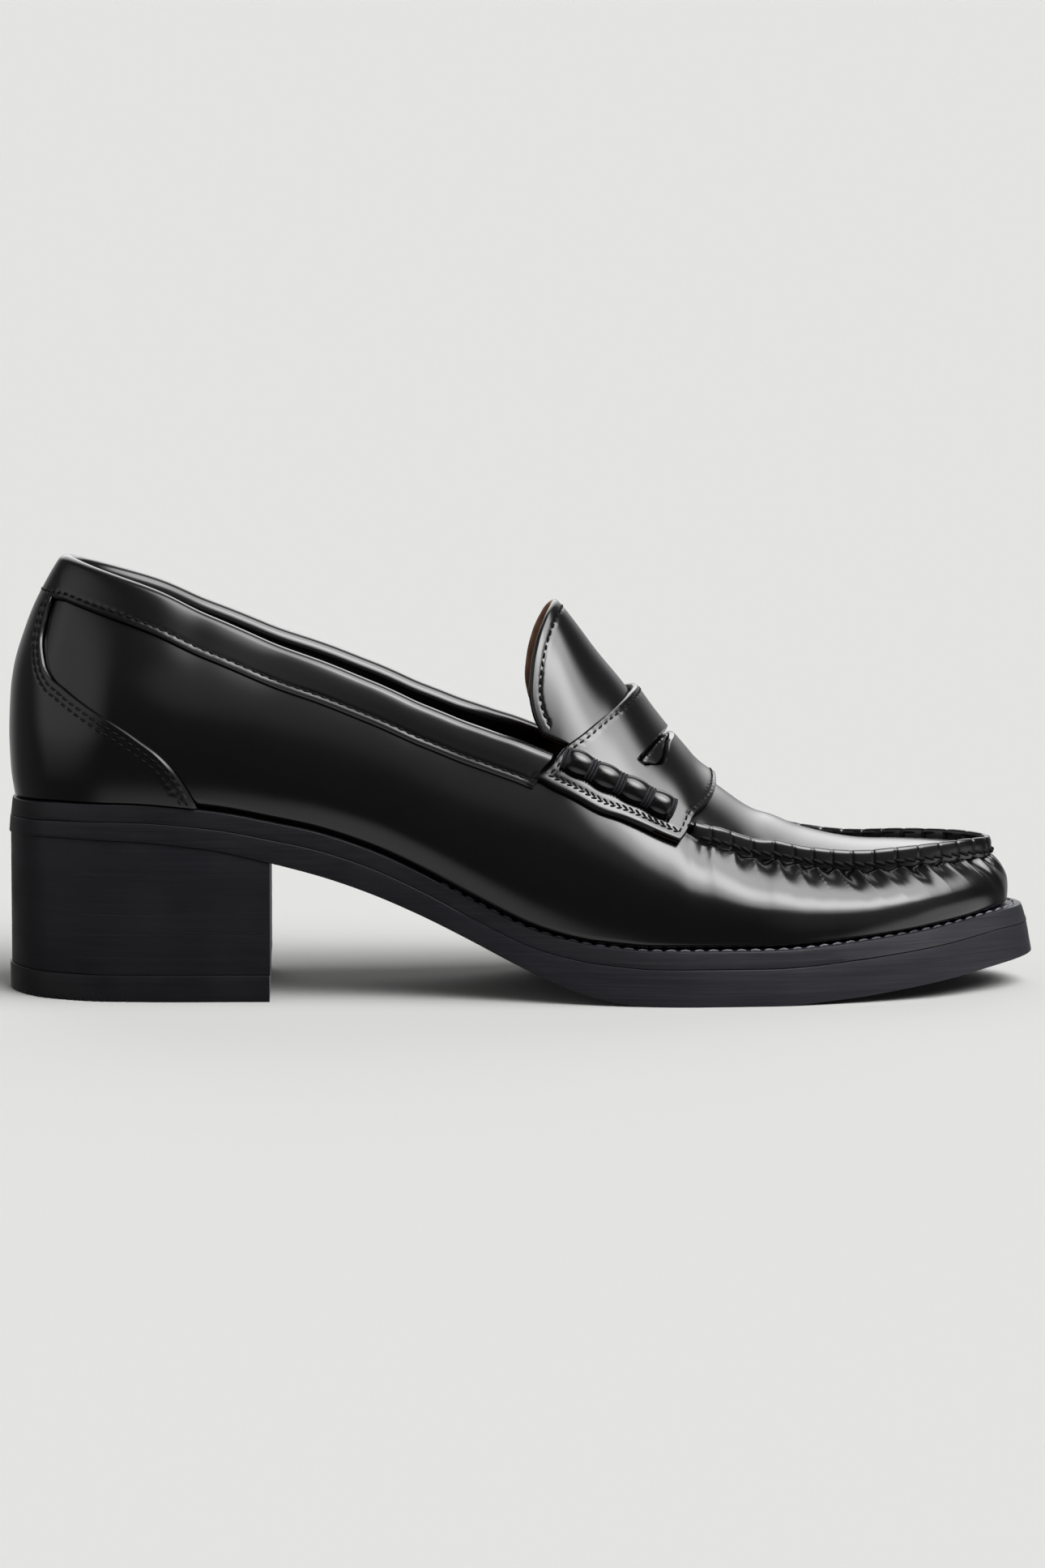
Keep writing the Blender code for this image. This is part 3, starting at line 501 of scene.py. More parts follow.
def give(piece, materials, nodes=()):
    slots = piece.data.materials
    for k, material in enumerate(materials):    # a sheet keeps its two sides' slots
        if k < len(slots):
            slots[k] = material
        else:
            slots.append(material)
    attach(piece, "root")
    if nodes:
        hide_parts(*nodes)


# Materials

def linear(code):
    channels = [int(code[k:k + 2], 16) / 255 for k in (1, 3, 5)]
    return tuple(c / 12.92 if c <= 0.04045 else ((c + 0.055) / 1.055) ** 2.4 for c in channels) + (1.0,)


def addNode(tree, kind, settings=None, links=None):
    node = tree.nodes.new(kind)
    for key, value in (settings or {}).items():
        if isinstance(key, str) and hasattr(node, key):
            setattr(node, key, value)
        else:
            node.inputs[key].default_value = value
    for key, source in (links or {}).items():
        tree.links.new(source, node.inputs[key])
    return node


def startMaterial(name, colour, roughness, extra=None):
    material = bpy.data.materials.new(name)
    material.use_nodes = True
    tree = material.node_tree
    shader = tree.nodes["Principled BSDF"]
    shader.inputs["Base Color"].default_value = linear(colour)
    shader.inputs["Roughness"].default_value = roughness
    for key, value in (extra or {}).items():
        shader.inputs[key].default_value = value
    return material, tree, shader


def noise(tree, size, detail=2.0, rough=0.5, stretch=None):    # size of one feature in mm
    place = addNode(tree, "ShaderNodeTexCoord").outputs["Object"]
    if stretch:
        place = addNode(tree, "ShaderNodeMapping", {"Scale": stretch}, {"Vector": place}).outputs["Vector"]
    return addNode(tree, "ShaderNodeTexNoise", {"Scale": 1000 / size, "Detail": detail, "Roughness": rough},
                   {"Vector": place}).outputs["Fac"]


def bump(tree, shader, layers):    # layers: (height source, depth in mm)
    normal = None
    for source, depth in layers:
        links = {"Height": source}
        if normal:
            links["Normal"] = normal
        normal = addNode(tree, "ShaderNodeBump", {"Distance": depth * mm}, links).outputs["Normal"]
    tree.links.new(normal, shader.inputs["Normal"])


def blendColour(tree, source, low, high, stops):    # a colour ramp over a height or noise
    blend = addNode(tree, "ShaderNodeValToRGB", None, {"Fac": source})
    for element, stop, code in zip(blend.color_ramp.elements, stops, (low, high)):
        element.position = stop
        element.color = linear(code)
    return blend.outputs["Color"]


def vary(tree, source, low, high):
    span = {"From Min": 0.3, "From Max": 0.7, "To Min": low, "To Max": high}
    return addNode(tree, "ShaderNodeMapRange", span, {"Value": source}).outputs["Result"]


# Black box calf: a hard polish over a very fine grain, so wide soft reflections lie on near black
def polishedLeather():
    material, tree, shader = startMaterial("polished_black_leather", "#040405", 0.40,
                                           {"Specular IOR Level": 0.02, "Coat Weight": 1.0,
                                            "Coat Roughness": 0.175, "Coat IOR": 1.48})
    grain = noise(tree, size=0.55, detail=3.0, rough=0.55)
    drift = noise(tree, size=9.0)
    handling = noise(tree, size=26.0, detail=3.0, rough=0.6)
    shade = blendColour(tree, handling, "#030304", "#050506", (0.35, 0.7))
    tree.links.new(shade, shader.inputs["Base Color"])
    tree.links.new(vary(tree, handling, 0.36, 0.46), shader.inputs["Roughness"])
    bump(tree, shader, ((grain, 0.010), (drift, 0.05)))
    return material


# Calf lining inside the quarters: matt brown-black with a loose grain
def liningLeather():
    material, tree, shader = startMaterial("lining_leather", "#2a1d16", 0.62, {"Specular IOR Level": 0.2})
    grain = noise(tree, size=0.8, detail=3.0, rough=0.6)
    drift = noise(tree, size=14.0)
    tree.links.new(blendColour(tree, drift, "#21160f", "#32231b", (0.3, 0.7)), shader.inputs["Base Color"])
    bump(tree, shader, ((grain, 0.03), (drift, 0.10)))
    return material


# Brown flesh side of the tongue, fibrous and matt
def fleshLeather():
    material, tree, shader = startMaterial("brown_flesh_side", "#8a6753", 0.8, {"Specular IOR Level": 0.2})
    fibre = noise(tree, size=0.35, detail=4.0, rough=0.65)
    cloud = noise(tree, size=6.0)
    tree.links.new(blendColour(tree, cloud, "#785744", "#9a7762", (0.3, 0.7)), shader.inputs["Base Color"])
    bump(tree, shader, ((fibre, 0.04),))
    return material


# Stained and waxed sole edge: satin charcoal with fine lines from the trimming wheel, optionally darkened
# towards the heel as painted shade
def waxedEdge(name, low, high, line, lifts=(), heelPaintedShade=1.0):
    material, tree, shader = startMaterial(name, low, 0.5, {"Specular IOR Level": 0.15})
    streak = noise(tree, size=1.0, detail=3.0, rough=0.6, stretch=(0.04, 0.04, 2.2))
    cloud = noise(tree, size=12.0)
    place = addNode(tree, "ShaderNodeTexCoord").outputs["Object"]
    place = addNode(tree, "ShaderNodeSeparateXYZ", None, {0: place})
    shade = addNode(tree, "ShaderNodeMapRange", {"From Min": -0.03, "From Max": 0.05, "To Min": heelPaintedShade},
                    {"Value": place.outputs["X"]}).outputs["Result"]    # painted shade: darker towards the heel and waist
    paintedShadeColour = addNode(tree, "ShaderNodeVectorMath", {"operation": "SCALE"},
                   {0: blendColour(tree, streak, low, high, (0.25, 0.8)), "Scale": shade}).outputs["Vector"]
    tree.links.new(paintedShadeColour, shader.inputs["Base Color"])
    tree.links.new(vary(tree, cloud, 0.34, 0.50), shader.inputs["Roughness"])
    layers = [(streak, line), (cloud, 0.06)]
    joints = None
    for level in lifts:    # a faint line where two lifts of the heel meet, in mm from the floor
        joint = addNode(tree, "ShaderNodeMath", {"operation": "COMPARE", 1: level * mm, 2: 0.10 * mm},
                        {0: place.outputs["Z"]}).outputs[0]
        links = {0: joint} if joints is None else {0: joint, 1: joints}
        joints = addNode(tree, "ShaderNodeMath", {"operation": "ADD"}, links).outputs[0] if joints else joint
    if joints:
        layers.append((joints, -0.05))
    bump(tree, shader, layers)
    return material


# Linen thread soaked in wax: dark grey, a little fuzzy
def waxedThread(name, low, high):
    material, tree, shader = startMaterial(name, low, 0.65, {"Specular IOR Level": 0.12})
    ply = noise(tree, size=0.28, detail=3.0, rough=0.7)
    tree.links.new(blendColour(tree, ply, low, high, (0.3, 0.75)), shader.inputs["Base Color"])
    bump(tree, shader, ((ply, 0.05),))
    return material


leather = polishedLeather()
lining = liningLeather()
flesh = fleshLeather()
# the sole and welt edges carry painted shade, darker towards the heel
soleEdge = waxedEdge("waxed_sole_edge", "#1c1c20", "#2a2a2f", 0.02, heelPaintedShade=0.5)
heelEdge = waxedEdge("waxed_heel_stack", "#121215", "#19191d", 0.015, (31.9, 21.8, 16.8, 11.1))
rubberEdge = waxedEdge("rubber_top_piece", "#0f0f12", "#161618", 0.02)
weltEdge = waxedEdge("waxed_welt_leather", "#1c1c1f", "#2a2a2e", 0.03, heelPaintedShade=0.5)
thread = waxedThread("black_waxed_thread", "#050506", "#0c0c0e")
cord = waxedThread("waxed_binding_cord", "#18181a", "#303034")
weltThread = waxedThread("grey_welt_thread", "#4b4b51", "#7b7b82")
print("materials ready")

# Upper: quarters and vamp, gathered into the raised seam

pleats = {"pitch": 0.0054, "deep": 0.00074, "reach": 0.0028, "lean": 0.50, "crease": 0.38, "wrinkle": 0.055,
          "tuck": 0.0007, "drawnIn": 0.0010}
seamStart = placeOf(edgeLine["strapFront"](0.96)) + 0.0002
seamFull = seamStart + 0.0016
frontTurn = float(turnAt(0.028, 1.0))
seamTurn = float(turnAt(seamStart, 1.0))


def seamRun(turn):    # length along the raised seam from the toe's middle, negative on the outer side
    fine = np.linspace(0, 2 * np.pi, 1600)
    line = ringPoint(fine, 1.0)
    length = np.concatenate(([0], np.cumsum(np.linalg.norm(np.diff(line, axis=0), axis=1))))
    return np.interp(turn, fine, length) - np.interp(np.pi, fine, length)


def pleatPhase(run, drop):    # 0 in a valley, 1 on the next one; the valleys lean towards the toe
    lean = pleats["lean"] * (0.25 + 0.75 * ramp(-np.abs(run), -0.085, -0.02))
    moved = np.abs(run) + lean * drop
    wander = 0.0009 * np.sin(moved / 0.0171 + 1.3) + 0.0007 * np.sin(moved / 0.0071 + np.sign(run))
    return (moved + wander) / pleats["pitch"]


def pleatRelief(turn, points, rim):
    run = seamRun(turn)
    drop = np.linalg.norm(points - rim, axis=-1)
    phase = pleatPhase(run, drop)
    number = np.floor(phase).astype(int)
    side = (run > 0).astype(int)
    rng = np.random.default_rng(11)
    strength = rng.uniform(0.35, 1.25, (2, 64))[side, np.clip(number, 0, 63)]
    tail = rng.uniform(0.75, 1.35, (2, 64))[side, np.clip(number, 0, 63)]
    share = phase - number
    deepest = pleats["reach"] * tail
    dent = np.sin(np.pi * share) ** 2.3 * (drop / deepest) * np.exp(1 - drop / deepest) ** 1.6
    crease = np.exp(-(np.minimum(share, 1 - share) / 0.10) ** 2) * np.exp(-(drop / (deepest * 1.8)) ** 1.5)
    fine = np.sin(phase * 2 * np.pi * 3.3 + 5 * strength) + 0.7 * np.sin(phase * 2 * np.pi * 7.7 + 9 * tail)
    fine = fine * np.exp(-((drop - deepest) / (deepest * 0.9)) ** 2)
    present = ramp(points[..., 0], seamStart - 0.004, seamStart + 0.010)
    tuck = -pleats["tuck"] * np.exp(-(drop / 0.0011) ** 2) * present
    relief = pleats["crease"] * crease - strength * dent - pleats["wrinkle"] * fine
    return present * pleats["deep"] * relief + tuck


full = 2 * np.pi    # once round the foot
turns = np.concatenate((np.linspace(0, frontTurn, 130)[:-1], np.linspace(frontTurn, full - frontTurn, 560),
                        np.linspace(full - frontTurn, full, 130)[1:]))
ups = np.concatenate((np.linspace(0, 0.06, 5)[:-1], np.linspace(0.06, 0.45, 14)[:-1],
                      np.linspace(0.45, 1, 46)))
wall = ringPoint(turns[:, None], ups[None, :])
lift = pleatRelief(turns[:, None], wall, ringPoint(turns, 1.0)[:, None, :])
lift = lift - pleats["drawnIn"] * np.clip(1 - ups[None, :] / 0.05, 0, 1) ** 2    # where it meets the welt
skirt = laySkin("upperSkirt", wall + gridNormals(wall, closed=True) * lift[..., None])
finishMesh(skirt, angle=60, outside=False)
give(skirt, (leather,), ("upper",))

wall = ringPoint(np.linspace(0, full, 181)[:, None], np.linspace(0, 1, 25)[None, :])
inner = laySkin("quarterLining", wall - gridNormals(wall, closed=True) * last["wall"])
inner.data.flip_normals()
finishMesh(inner, outside=False)
give(inner, (lining,), ())


def capPlace(x):
    share = (x - backEnd(1.0)) / (frontEnd(1.0) - backEnd(1.0))
    return backEnd(1.0) + share * (frontEnd(1.0) - last["ridgeWide"] - backEnd(1.0))


def throatWarp(x, across):
    throat = placeOf(edgeLine["throat"](1.0))
    shift = placeOf(edgeLine["throat"](np.abs(across))) - throat
    return x + shift * (1 - ramp(x, throat, throat + 0.060))


# Raised seam: the vamp and plug edges turned up together and sewn through, drawn in at each pleat
ridgeProfile = {
    "run": (0, 0.14, 0.30, 0.42, 0.50, 0.58, 0.70, 0.86, 1),
    "out": (0.62, 0.66, 0.62, 0.42, 0.02, -0.40, -0.60, -0.62, -0.56),
    "high": (-0.22, 0.12, 0.55, 0.88, 1.0, 0.90, 0.66, 0.30, 0.02),
    "puff": (0.08, 0.02), "nip": (0.15, 0.022),    # between and at the stitches, in width and height
}
ridgeOut, ridgeHigh = (column(ridgeProfile, n, "run") for n in ("out", "high"))
seamTurns = np.linspace(seamTurn, full - seamTurn, 900)
profile = np.linspace(0, 1, 25)
foot = ringPoint(seamTurns, 1.0)
footX = foot[:, 0]
inside = capPoint(capPlace(footX), np.where(seamTurns < np.pi, -1.0, 1.0))
tangent = unit(np.gradient(foot, axis=0))
flat = unit(np.stack((tangent[:, 1], -tangent[:, 0], 0 * footX), -1))
middle = (foot + inside) / 2
middle[:, 2] = foot[:, 2]
phase = pleatPhase(seamRun(seamTurns), 0.0) % 1.0
tick = np.exp(-(np.minimum(phase, 1 - phase) / 0.07) ** 2)
puff = np.sin(np.pi * phase) ** 0.6
rise = ramp(footX, seamStart, seamFull) * last["ridge"]
half = last["ridgeWide"] / 2 * 1.10
broader, higher = (puff * a - tick * b for a, b in zip(ridgeProfile["puff"], ridgeProfile["nip"]))
ridgeWide = ridgeOut(profile)[None, :] * half * 1.5 * (0.94 + broader)[:, None]
ridgePoints = middle[:, None, :] + flat[:, None, :] * ridgeWide[..., None]
ridgePoints[..., 2] += ridgeHigh(profile)[None, :] * (rise * (1.0 + higher))[:, None]
ridge = laySkin("raisedSeam", ridgePoints)
finishMesh(ridge, angle=60, outside=False)
give(ridge, (leather,), ())
print("skirt and raised seam ready")

# Plug: the flat apron inside the raised seam
plugSheet = {"thick": 0.0016, "rim": 0.0008, "offset": -0.0016, "sunk": 0.0010, "gather": 0.00010,
             "slotLift": 0.0018, "underSlot": 0.16}
slotReach = 0.83
plugUs = np.sin(np.linspace(0, np.pi / 2 * 0.985, 150))
plugUs = plugUs[plugUs >= plugSheet["underSlot"]]    # the rows are closer together under the strap's slot
plugUs = np.concatenate((np.linspace(0, plugSheet["underSlot"], 46)[:-1], plugUs))
plugVs = np.sin(np.linspace(-np.pi / 2, np.pi / 2, 121))
throatX = placeOf(edgeLine["throat"](1.0))
plugEnd = frontEnd(1.0) - last["ridgeWide"]
plugX = throatX + (plugEnd - throatX) * plugUs
plugMiddle = capPoint(throatWarp(plugX[:, None], plugVs[None, :]), plugVs[None, :])
plugMiddle[..., 2] -= plugSheet["sunk"] * ramp(plugX, 0.026, 0.088)[:, None]    # below the seam's top


def plugRelief(spot):    # gathered at the seam, and pressed up into the slot by the foot
    gather = plugSheet["gather"] * np.sin(2 * np.pi * spot["run"] / pleats["pitch"])
    reach = np.abs(plugVs[spot["column"]])
    behind = placeOf(edgeLine["slotBack"](reach))
    ahead = placeOf(edgeLine["slotFront"](reach))
    inSlot = ramp(spot["x"], behind, behind + 0.0006) * (1 - ramp(spot["x"], ahead - 0.0005, ahead))
    inSlot = inSlot * (1 - ramp(reach, slotReach - 0.03, slotReach))
    return gather * np.exp(-(spot["edge"] / 0.003) ** 2) + plugSheet["slotLift"] * inSlot


plug = laySlab("plug", plugMiddle, plugSheet, relief=plugRelief)
finishMesh(plug)
give(plug, (leather, lining), ())

# Tongue: shield-shaped flap that stands up behind the strap, its brown flesh side towards the foot
tongueSheet = {"thick": last["tongueThick"], "rim": 0.0007, "offset": -last["tongueThick"], "half": 0.955,
               "borders": (2,), "sewn": (0.0027,), "pitch": 0.0023, "groove": 0.00016, "wide": 0.00035,
               "hole": 0.00020}
tongueVs = tongueSheet["half"] * np.sin(np.linspace(-np.pi / 2, np.pi / 2, 121))
tongueUs = spread(56, 0.020)
tongueStart = placeOf(edgeLine["tongue"](np.abs(tongueVs)))
tongueEnd = throatWarp(capPlace(throatX), tongueVs) - 2 * gap
tongueX = tongueStart[None, :] + (tongueEnd - tongueStart)[None, :] * tongueUs[:, None]
tongueMiddle = capPoint(tongueX, tongueVs[None, :])
tongue = laySlab("tongueFlap", tongueMiddle, tongueSheet)
finishMesh(tongue)
give(tongue, (leather, flesh), ("tongue",))

# Saddle strap with its slot
strapSheet = {"thick": last["strapThick"], "rim": 0.0006, "offset": gap, "borders": (2, 3),
              "sewn": (0.0016,), "pitch": 0.0022, "groove": 0.00008, "wide": 0.00035, "hole": 0.00012,
              "frontLean": 0.0026}
flapSeam = {"rows": ((0.0021, 0.45), (0.0028, -0.45)), "pitch": 0.0017,    # depth and slant of each row
            "middle": 0.0024, "groove": 0.00012, "wide": 0.0007}
flapShare = 0.085
strapVs = np.concatenate((np.linspace(0, flapShare, 20)[:-1], np.linspace(flapShare, 1 - flapShare, 200),
                          np.linspace(1 - flapShare, 1, 20)[1:]))
acrossOf = np.clip((strapVs - flapShare) / (1 - 2 * flapShare), 0, 1) * 2 - 1
acrossOf = np.sin(acrossOf * np.pi / 2 * 0.82) / math.sin(np.pi / 2 * 0.82)
valueOf = np.where(strapVs < flapShare, 1 - strapVs / flapShare,
                   np.where(strapVs > 1 - flapShare, (strapVs - 1 + flapShare) / flapShare, 0))
reach = np.abs(acrossOf)
bandA = spread(22, 0.035)
bandB = np.linspace(0, 1, 3)
bandC = 1 - spread(30, 0.030)[::-1]
backX = placeOf(edgeLine["strapBack"](reach)) - last["flapLean"] * valueOf
slotA = placeOf(edgeLine["slotBack"](reach))
slotB = placeOf(edgeLine["slotFront"](reach))
frontX = placeOf(edgeLine["strapFront"](reach)) - strapSheet["frontLean"] * valueOf
strapX = np.concatenate((backX + (slotA - backX) * bandA[:, None],
                         (slotA + (slotB - slotA) * bandB[:, None])[1:],
                         (slotB + (frontX - slotB) * bandC[:, None])[1:]))
onCap = capPoint(strapX, acrossOf[None, :])
sign = np.where(acrossOf < 0, 1.0, -1.0)
drop = last["flapDrop"] * flapLine(alongOf(strapX)) * valueOf[None, :]
flapUp = 1 - drop / (topLine(strapX) - footLine(strapX))
onFlap = ringPoint(sign[None, :] * turnAt(strapX, flapUp), flapUp)
strapMiddle = np.where((valueOf > 0)[None, :, None], onFlap, onCap)
for _ in range(60):    # the leather rolls over the seam without a crease
    soft = strapMiddle.copy()
    soft[:, 1:-1] = (strapMiddle[:, :-2] + 2 * strapMiddle[:, 1:-1] + strapMiddle[:, 2:]) / 4
    weight = np.exp(-((valueOf * 0.8 + (1 - reach) * 5) / 0.9) ** 2)[None, :, None]
    strapMiddle = strapMiddle + (soft - strapMiddle) * weight
slotRows = np.nonzero((reach <= slotReach) & (valueOf == 0))[0]
strapHole = (len(bandA) - 1, len(bandA) + 1, int(slotRows[0]), int(slotRows[-1]))


def strapRelief(spot):    # a broad groove under the crossed rows of each flap
    across = (spot["edge"] - flapSeam["middle"]) / flapSeam["wide"]
    return np.where(spot["border"] < 2, -flapSeam["groove"] * np.exp(-across ** 2), 0)


strap = laySlab("saddleStrap", strapMiddle, strapSheet, hole=strapHole, relief=strapRelief)
finishMesh(strap)
give(strap, (leather, lining), ("saddle_strap",))
print("plug, tongue and strap ready")

# Beef rolls: the strap's ends rolled up and bound over the raised seam
rolls = {"bulges": 4, "back": 0.0022, "front": 0.0012, "down": 1.7, "seat": 0.28, "radius": 0.0033,
         "waist": 0.70, "tall": 0.90, "cord": 0.00034, "proud": 0.00030, "strand": 0.026,
         "sides": 28, "tube": 8}


def addRoll(name, sign, node):
    start = placeOf(edgeLine["strapBack"](1.0)) + last["rollEnd"] - rolls["back"]
    end = placeOf(edgeLine["strapFront"](1.0)) - last["rollEnd"] - rolls["front"]
    us = np.linspace(0, 1, 121)
    x = start + (end - start) * us
    onSeam = ringPoint(sign * turnAt(x, 1.0), 1.0)
    edge = capPoint(x, -sign)
    base = (onSeam + edge) / 2
    out = unit(rolls["down"] * ringNormal(sign * turnAt(x, 1.0), 1.0) + capNormal(x, -0.97 * sign))
    centre = base + out * (2 * gap + last["strapThick"] + rolls["radius"] * rolls["seat"])
    along = unit(np.gradient(centre, axis=0))
    across = unit(np.cross(along, out))
    bulge = np.abs(np.sin(np.pi * rolls["bulges"] * us)) ** 0.70
    ends = np.sqrt(np.clip(1 - (np.abs(us - 0.5) * 2) ** 24, 0, 1))
    radius = rolls["radius"] * (rolls["waist"] + (1 - rolls["waist"]) * bulge) * ends
    turn = full * np.linspace(0, 1, 33)[None, :, None]
    spokes = np.cos(turn) * out[:, None, :] * rolls["tall"] + np.sin(turn) * across[:, None, :]
    roll = laySkin(name, centre[:, None, :] + radius[:, None, None] * spokes)
    finishMesh(roll, angle=60)
    give(roll, (leather,), (node,))
    hoops = []
    faces = []
    sides, tube = rolls["sides"], rolls["tube"]
    ringRadius = rolls["radius"] * rolls["waist"] + rolls["proud"]
    for waist in range(rolls["bulges"] + 1):
        for strand in range(3):    # three turns of cord side by side at each waist
            shift = rolls["strand"] * strand
            s = np.clip(waist / rolls["bulges"] - rolls["strand"] + shift, 0.010 + shift, 0.938 + shift)
            k = int(round(s * 120))
            first = len(hoops)
            for a in range(sides):
                turn = 2 * np.pi * a / sides
                spoke = math.cos(turn) * out[k] * rolls["tall"] + math.sin(turn) * across[k]
                hub = centre[k] + along[k] * (s - us[k]) * (end - start) + spoke * ringRadius
                for b in range(tube):
                    bend = 2 * np.pi * b / tube
                    away = math.cos(bend) * spoke + math.sin(bend) * along[k]
                    hoops.append(tuple(hub + rolls["cord"] * away))
                    nextA, nextB = (a + 1) % sides, (b + 1) % tube
                    corners = ((a, b), (nextA, b), (nextA, nextB), (a, nextB))
                    faces.append(tuple(first + p * tube + q for p, q in corners))
    mesh = bpy.data.meshes.new(name + "Wraps")
    mesh.from_pydata(hoops, [], faces)
    binding = bpy.data.objects.new(name + "Wraps", mesh)
    bpy.context.scene.collection.objects.link(binding)
    finishMesh(binding, weld=0)
    give(binding, (cord,), ())


addRoll("beefRollOuter", 1, "beef_roll_outer")
addRoll("beefRollInner", -1, "beef_roll_inner")

# Collar binding: a band folded over the edge from strap to strap
collarSheet = {"thick": last["bindingThick"], "rim": 0.0006, "offset": 0.0, "borders": (0, 1),
               "sewn": (0.0016,), "pitch": 0.0023, "groove": 0.00007, "wide": 0.0004, "hole": 0.00020,
               "padding": 0.0009, "fold": 0.14}    # the fold's share of the path, either side of its middle
collarEnd = float(turnAt(placeOf(edgeLine["strapBack"](1.0)) - 0.0016, 1.0))
bindUs = np.linspace(-collarEnd, collarEnd, 341)
bindVs = np.linspace(0, 1, 61)
rimPoint = ringPoint(bindUs, 1.0)
lowUp = 1 - last["bindingDepth"] / (topLine(rimPoint[:, 0]) - footLine(rimPoint[:, 0]))
flatShare = 0.5 - collarSheet["fold"]
bindMiddle = np.empty((len(bindUs), len(bindVs), 3))
strapRear = placeOf(edgeLine["strapBack"](1.0)) - 0.0006
wallHalf = last["wall"] / 2 + gap
for k, v in enumerate(bindVs):    # its end follows the flap's rear edge
    share = min((v if v < 0.5 else 1 - v) / flatShare, 1.0)
    cut = (1 - share) * 0.5 if v < 0.5 else 0
    around = bindUs / collarEnd * float(turnAt(strapRear - cut * last["flapLean"], 1.0))
    if v <= flatShare or v >= 1 - flatShare:
        up = lowUp + (1 - lowUp) * share
        normal = ringNormal(around, up)
        away = gap if v < 0.5 else -(last["wall"] + gap)
        bindMiddle[:, k] = ringPoint(around, up) + normal * away
    else:
        bend = np.pi * (v - flatShare) / (1 - 2 * flatShare)
        normal = ringNormal(around, 1.0)
        rimPoint = ringPoint(around, 1.0)
        upward = unit(rimPoint - ringPoint(around, 0.97))
        hub = rimPoint - normal * last["wall"] / 2
        fold = normal * wallHalf * math.cos(bend) + upward * (wallHalf * 0.55) * math.sin(bend)
        bindMiddle[:, k] = hub + fold


def collarRelief(spot):    # foam under the fold
    v = bindVs[spot["column"]]
    return collarSheet["padding"] * ramp(v, 0.03, 0.38) * (1 - ramp(v, 0.46, 0.66))


collar = laySlab("collarBinding", bindMiddle, collarSheet, relief=collarRelief)
finishMesh(collar)
give(collar, (leather, lining), ("collar_binding",))

# Heel counter: an overlay sewn to the back of the quarters with two rows
counterSheet = {"thick": last["counterThick"], "rim": 0.0003, "offset": gap * 0.6, "borders": (2, 3),
                "sewn": (0.0017, 0.0032), "pitch": 0.0023, "groove": 0.00008, "wide": 0.00035,
                "hole": 0.00020}
counterUs = np.linspace(-1, 1, 187)
counterVs = np.linspace(0, 1, 91)
backX1 = ringPoint(0.0, 1.0)[0]
limit = 1 - last["bindingDepth"] / (topLine(backX1) - footLine(backX1)) + 0.02
counterUp = counterVs * limit
counterEdge = turnAt(placeOf(counterLine(counterVs)), counterUp)
counterTurn = counterEdge[None, :] * counterUs[:, None]
counterX = ringPoint(counterTurn, 1.0)[..., 0]
counterLow = 1 - (last["bindingDepth"] - 0.0008) / (topLine(counterX) - footLine(counterX))
counterMiddle = ringPoint(counterTurn, counterVs[None, :] * counterLow)
counter = laySlab("heelCounter", counterMiddle, counterSheet)
finishMesh(counter)
give(counter, (leather, leather), ("heel_counter",))
print("rolls, binding and counter ready")


# Sole and heel

def planLoop(end, steps, inset, toeInset):
    stop = math.acos(1 - 2 * alongOf(end))
    turn = np.linspace(0, stop, steps + 1)
    along = (1 - np.cos(turn)) / 2
    draw = inset + (toeInset - inset) * ramp(along, 0.75, 1.0)
    x = -last["length"] / 2 + inset + along * (last["length"] - 2 * inset)
    x = x - (toeInset - inset) * ramp(along, 0.75, 1.0)
    sides = []
    for widthOf, sign in zip(soleSide, (-1, 1)):
        half = widthOf(along) * (1 - draw / last["ballHalf"] / 0.70)
        sides.append(np.stack((x, centreLine(x) + sign * half), -1))
    return np.concatenate((sides[0], sides[1][::-1]))


def addLayer(name, under, over, lean, toeLean, end, steps=150, rim=0.00022, notch=None):
    # A layer of the sole from under to over; lean and toeLean are its insets at its lower and upper edge
    rows = []
    for share, way, curl in ((0, 1, (0.0, 0.30, 0.62, 1.0)), (1, -1, (1.0, 0.62, 0.30, 0.0))):
        for t in curl:    # its rounded rims
            draw = rim * (1 - math.sin(t * np.pi / 2))
            rise = way * rim * (1 - math.cos(t * np.pi / 2))
            rows.append((lean[share] + draw, toeLean[share] + draw, share, rise))
    rows[4:4] = [(lean[0] + (lean[1] - lean[0]) * t, toeLean[0] + (toeLean[1] - toeLean[0]) * t, t, 0)
                 for t in (0.33, 0.67)]
    rings = []
    for inset, toeInset, share, extra in rows:
        plan = planLoop(end, steps, inset, toeInset)
        z = under(plan[:, 0]) * (1 - share) + over(plan[:, 0]) * share + extra
        rings.append(np.concatenate((plan, z[:, None]), 1))
    rings = np.array(rings)
    if notch is not None:
        rings = notch(rings)
    wall = laySkin(name, np.concatenate((rings, rings[:, :1]), 1).transpose(1, 0, 2))
    caps = []
    for ring, level in ((rings[0], under), (rings[-1], over)):
        a = ring[:steps + 1, None]
        b = ring[steps + 1:][::-1, None]
        points = a + (b - a) * (np.arange(7) / 6)[None, :, None]
        points[:, 1:-1, 2] = level(points[:, 1:-1, 0])
        caps.append(laySkin(name + "Cap", points))
    pick(wall)
    for cap in caps:
        cap.select_set(True)
    bpy.ops.object.join()
    finishMesh(wall, weld=0.000002)
    return wall


toe = last["length"] / 2
breast = last["heelLength"] - toe
hair = 0.00004    # of air between two layers
notches = {"pitch": 0.0021, "deep": 0.0006, "from": 0.004, "to": 0.031}


def gripNotches(rings):    # small grooves across the top piece's lower edge, at the back
    fromBack = rings[0, :, 0] + toe
    wave = np.clip(np.cos(2 * np.pi * fromBack / notches["pitch"]) * 2.5 - 0.9, 0, 1)
    rings[:4, :, 2] += notches["deep"] * wave * (fromBack < notches["to"]) * (fromBack > notches["from"])
    return rings


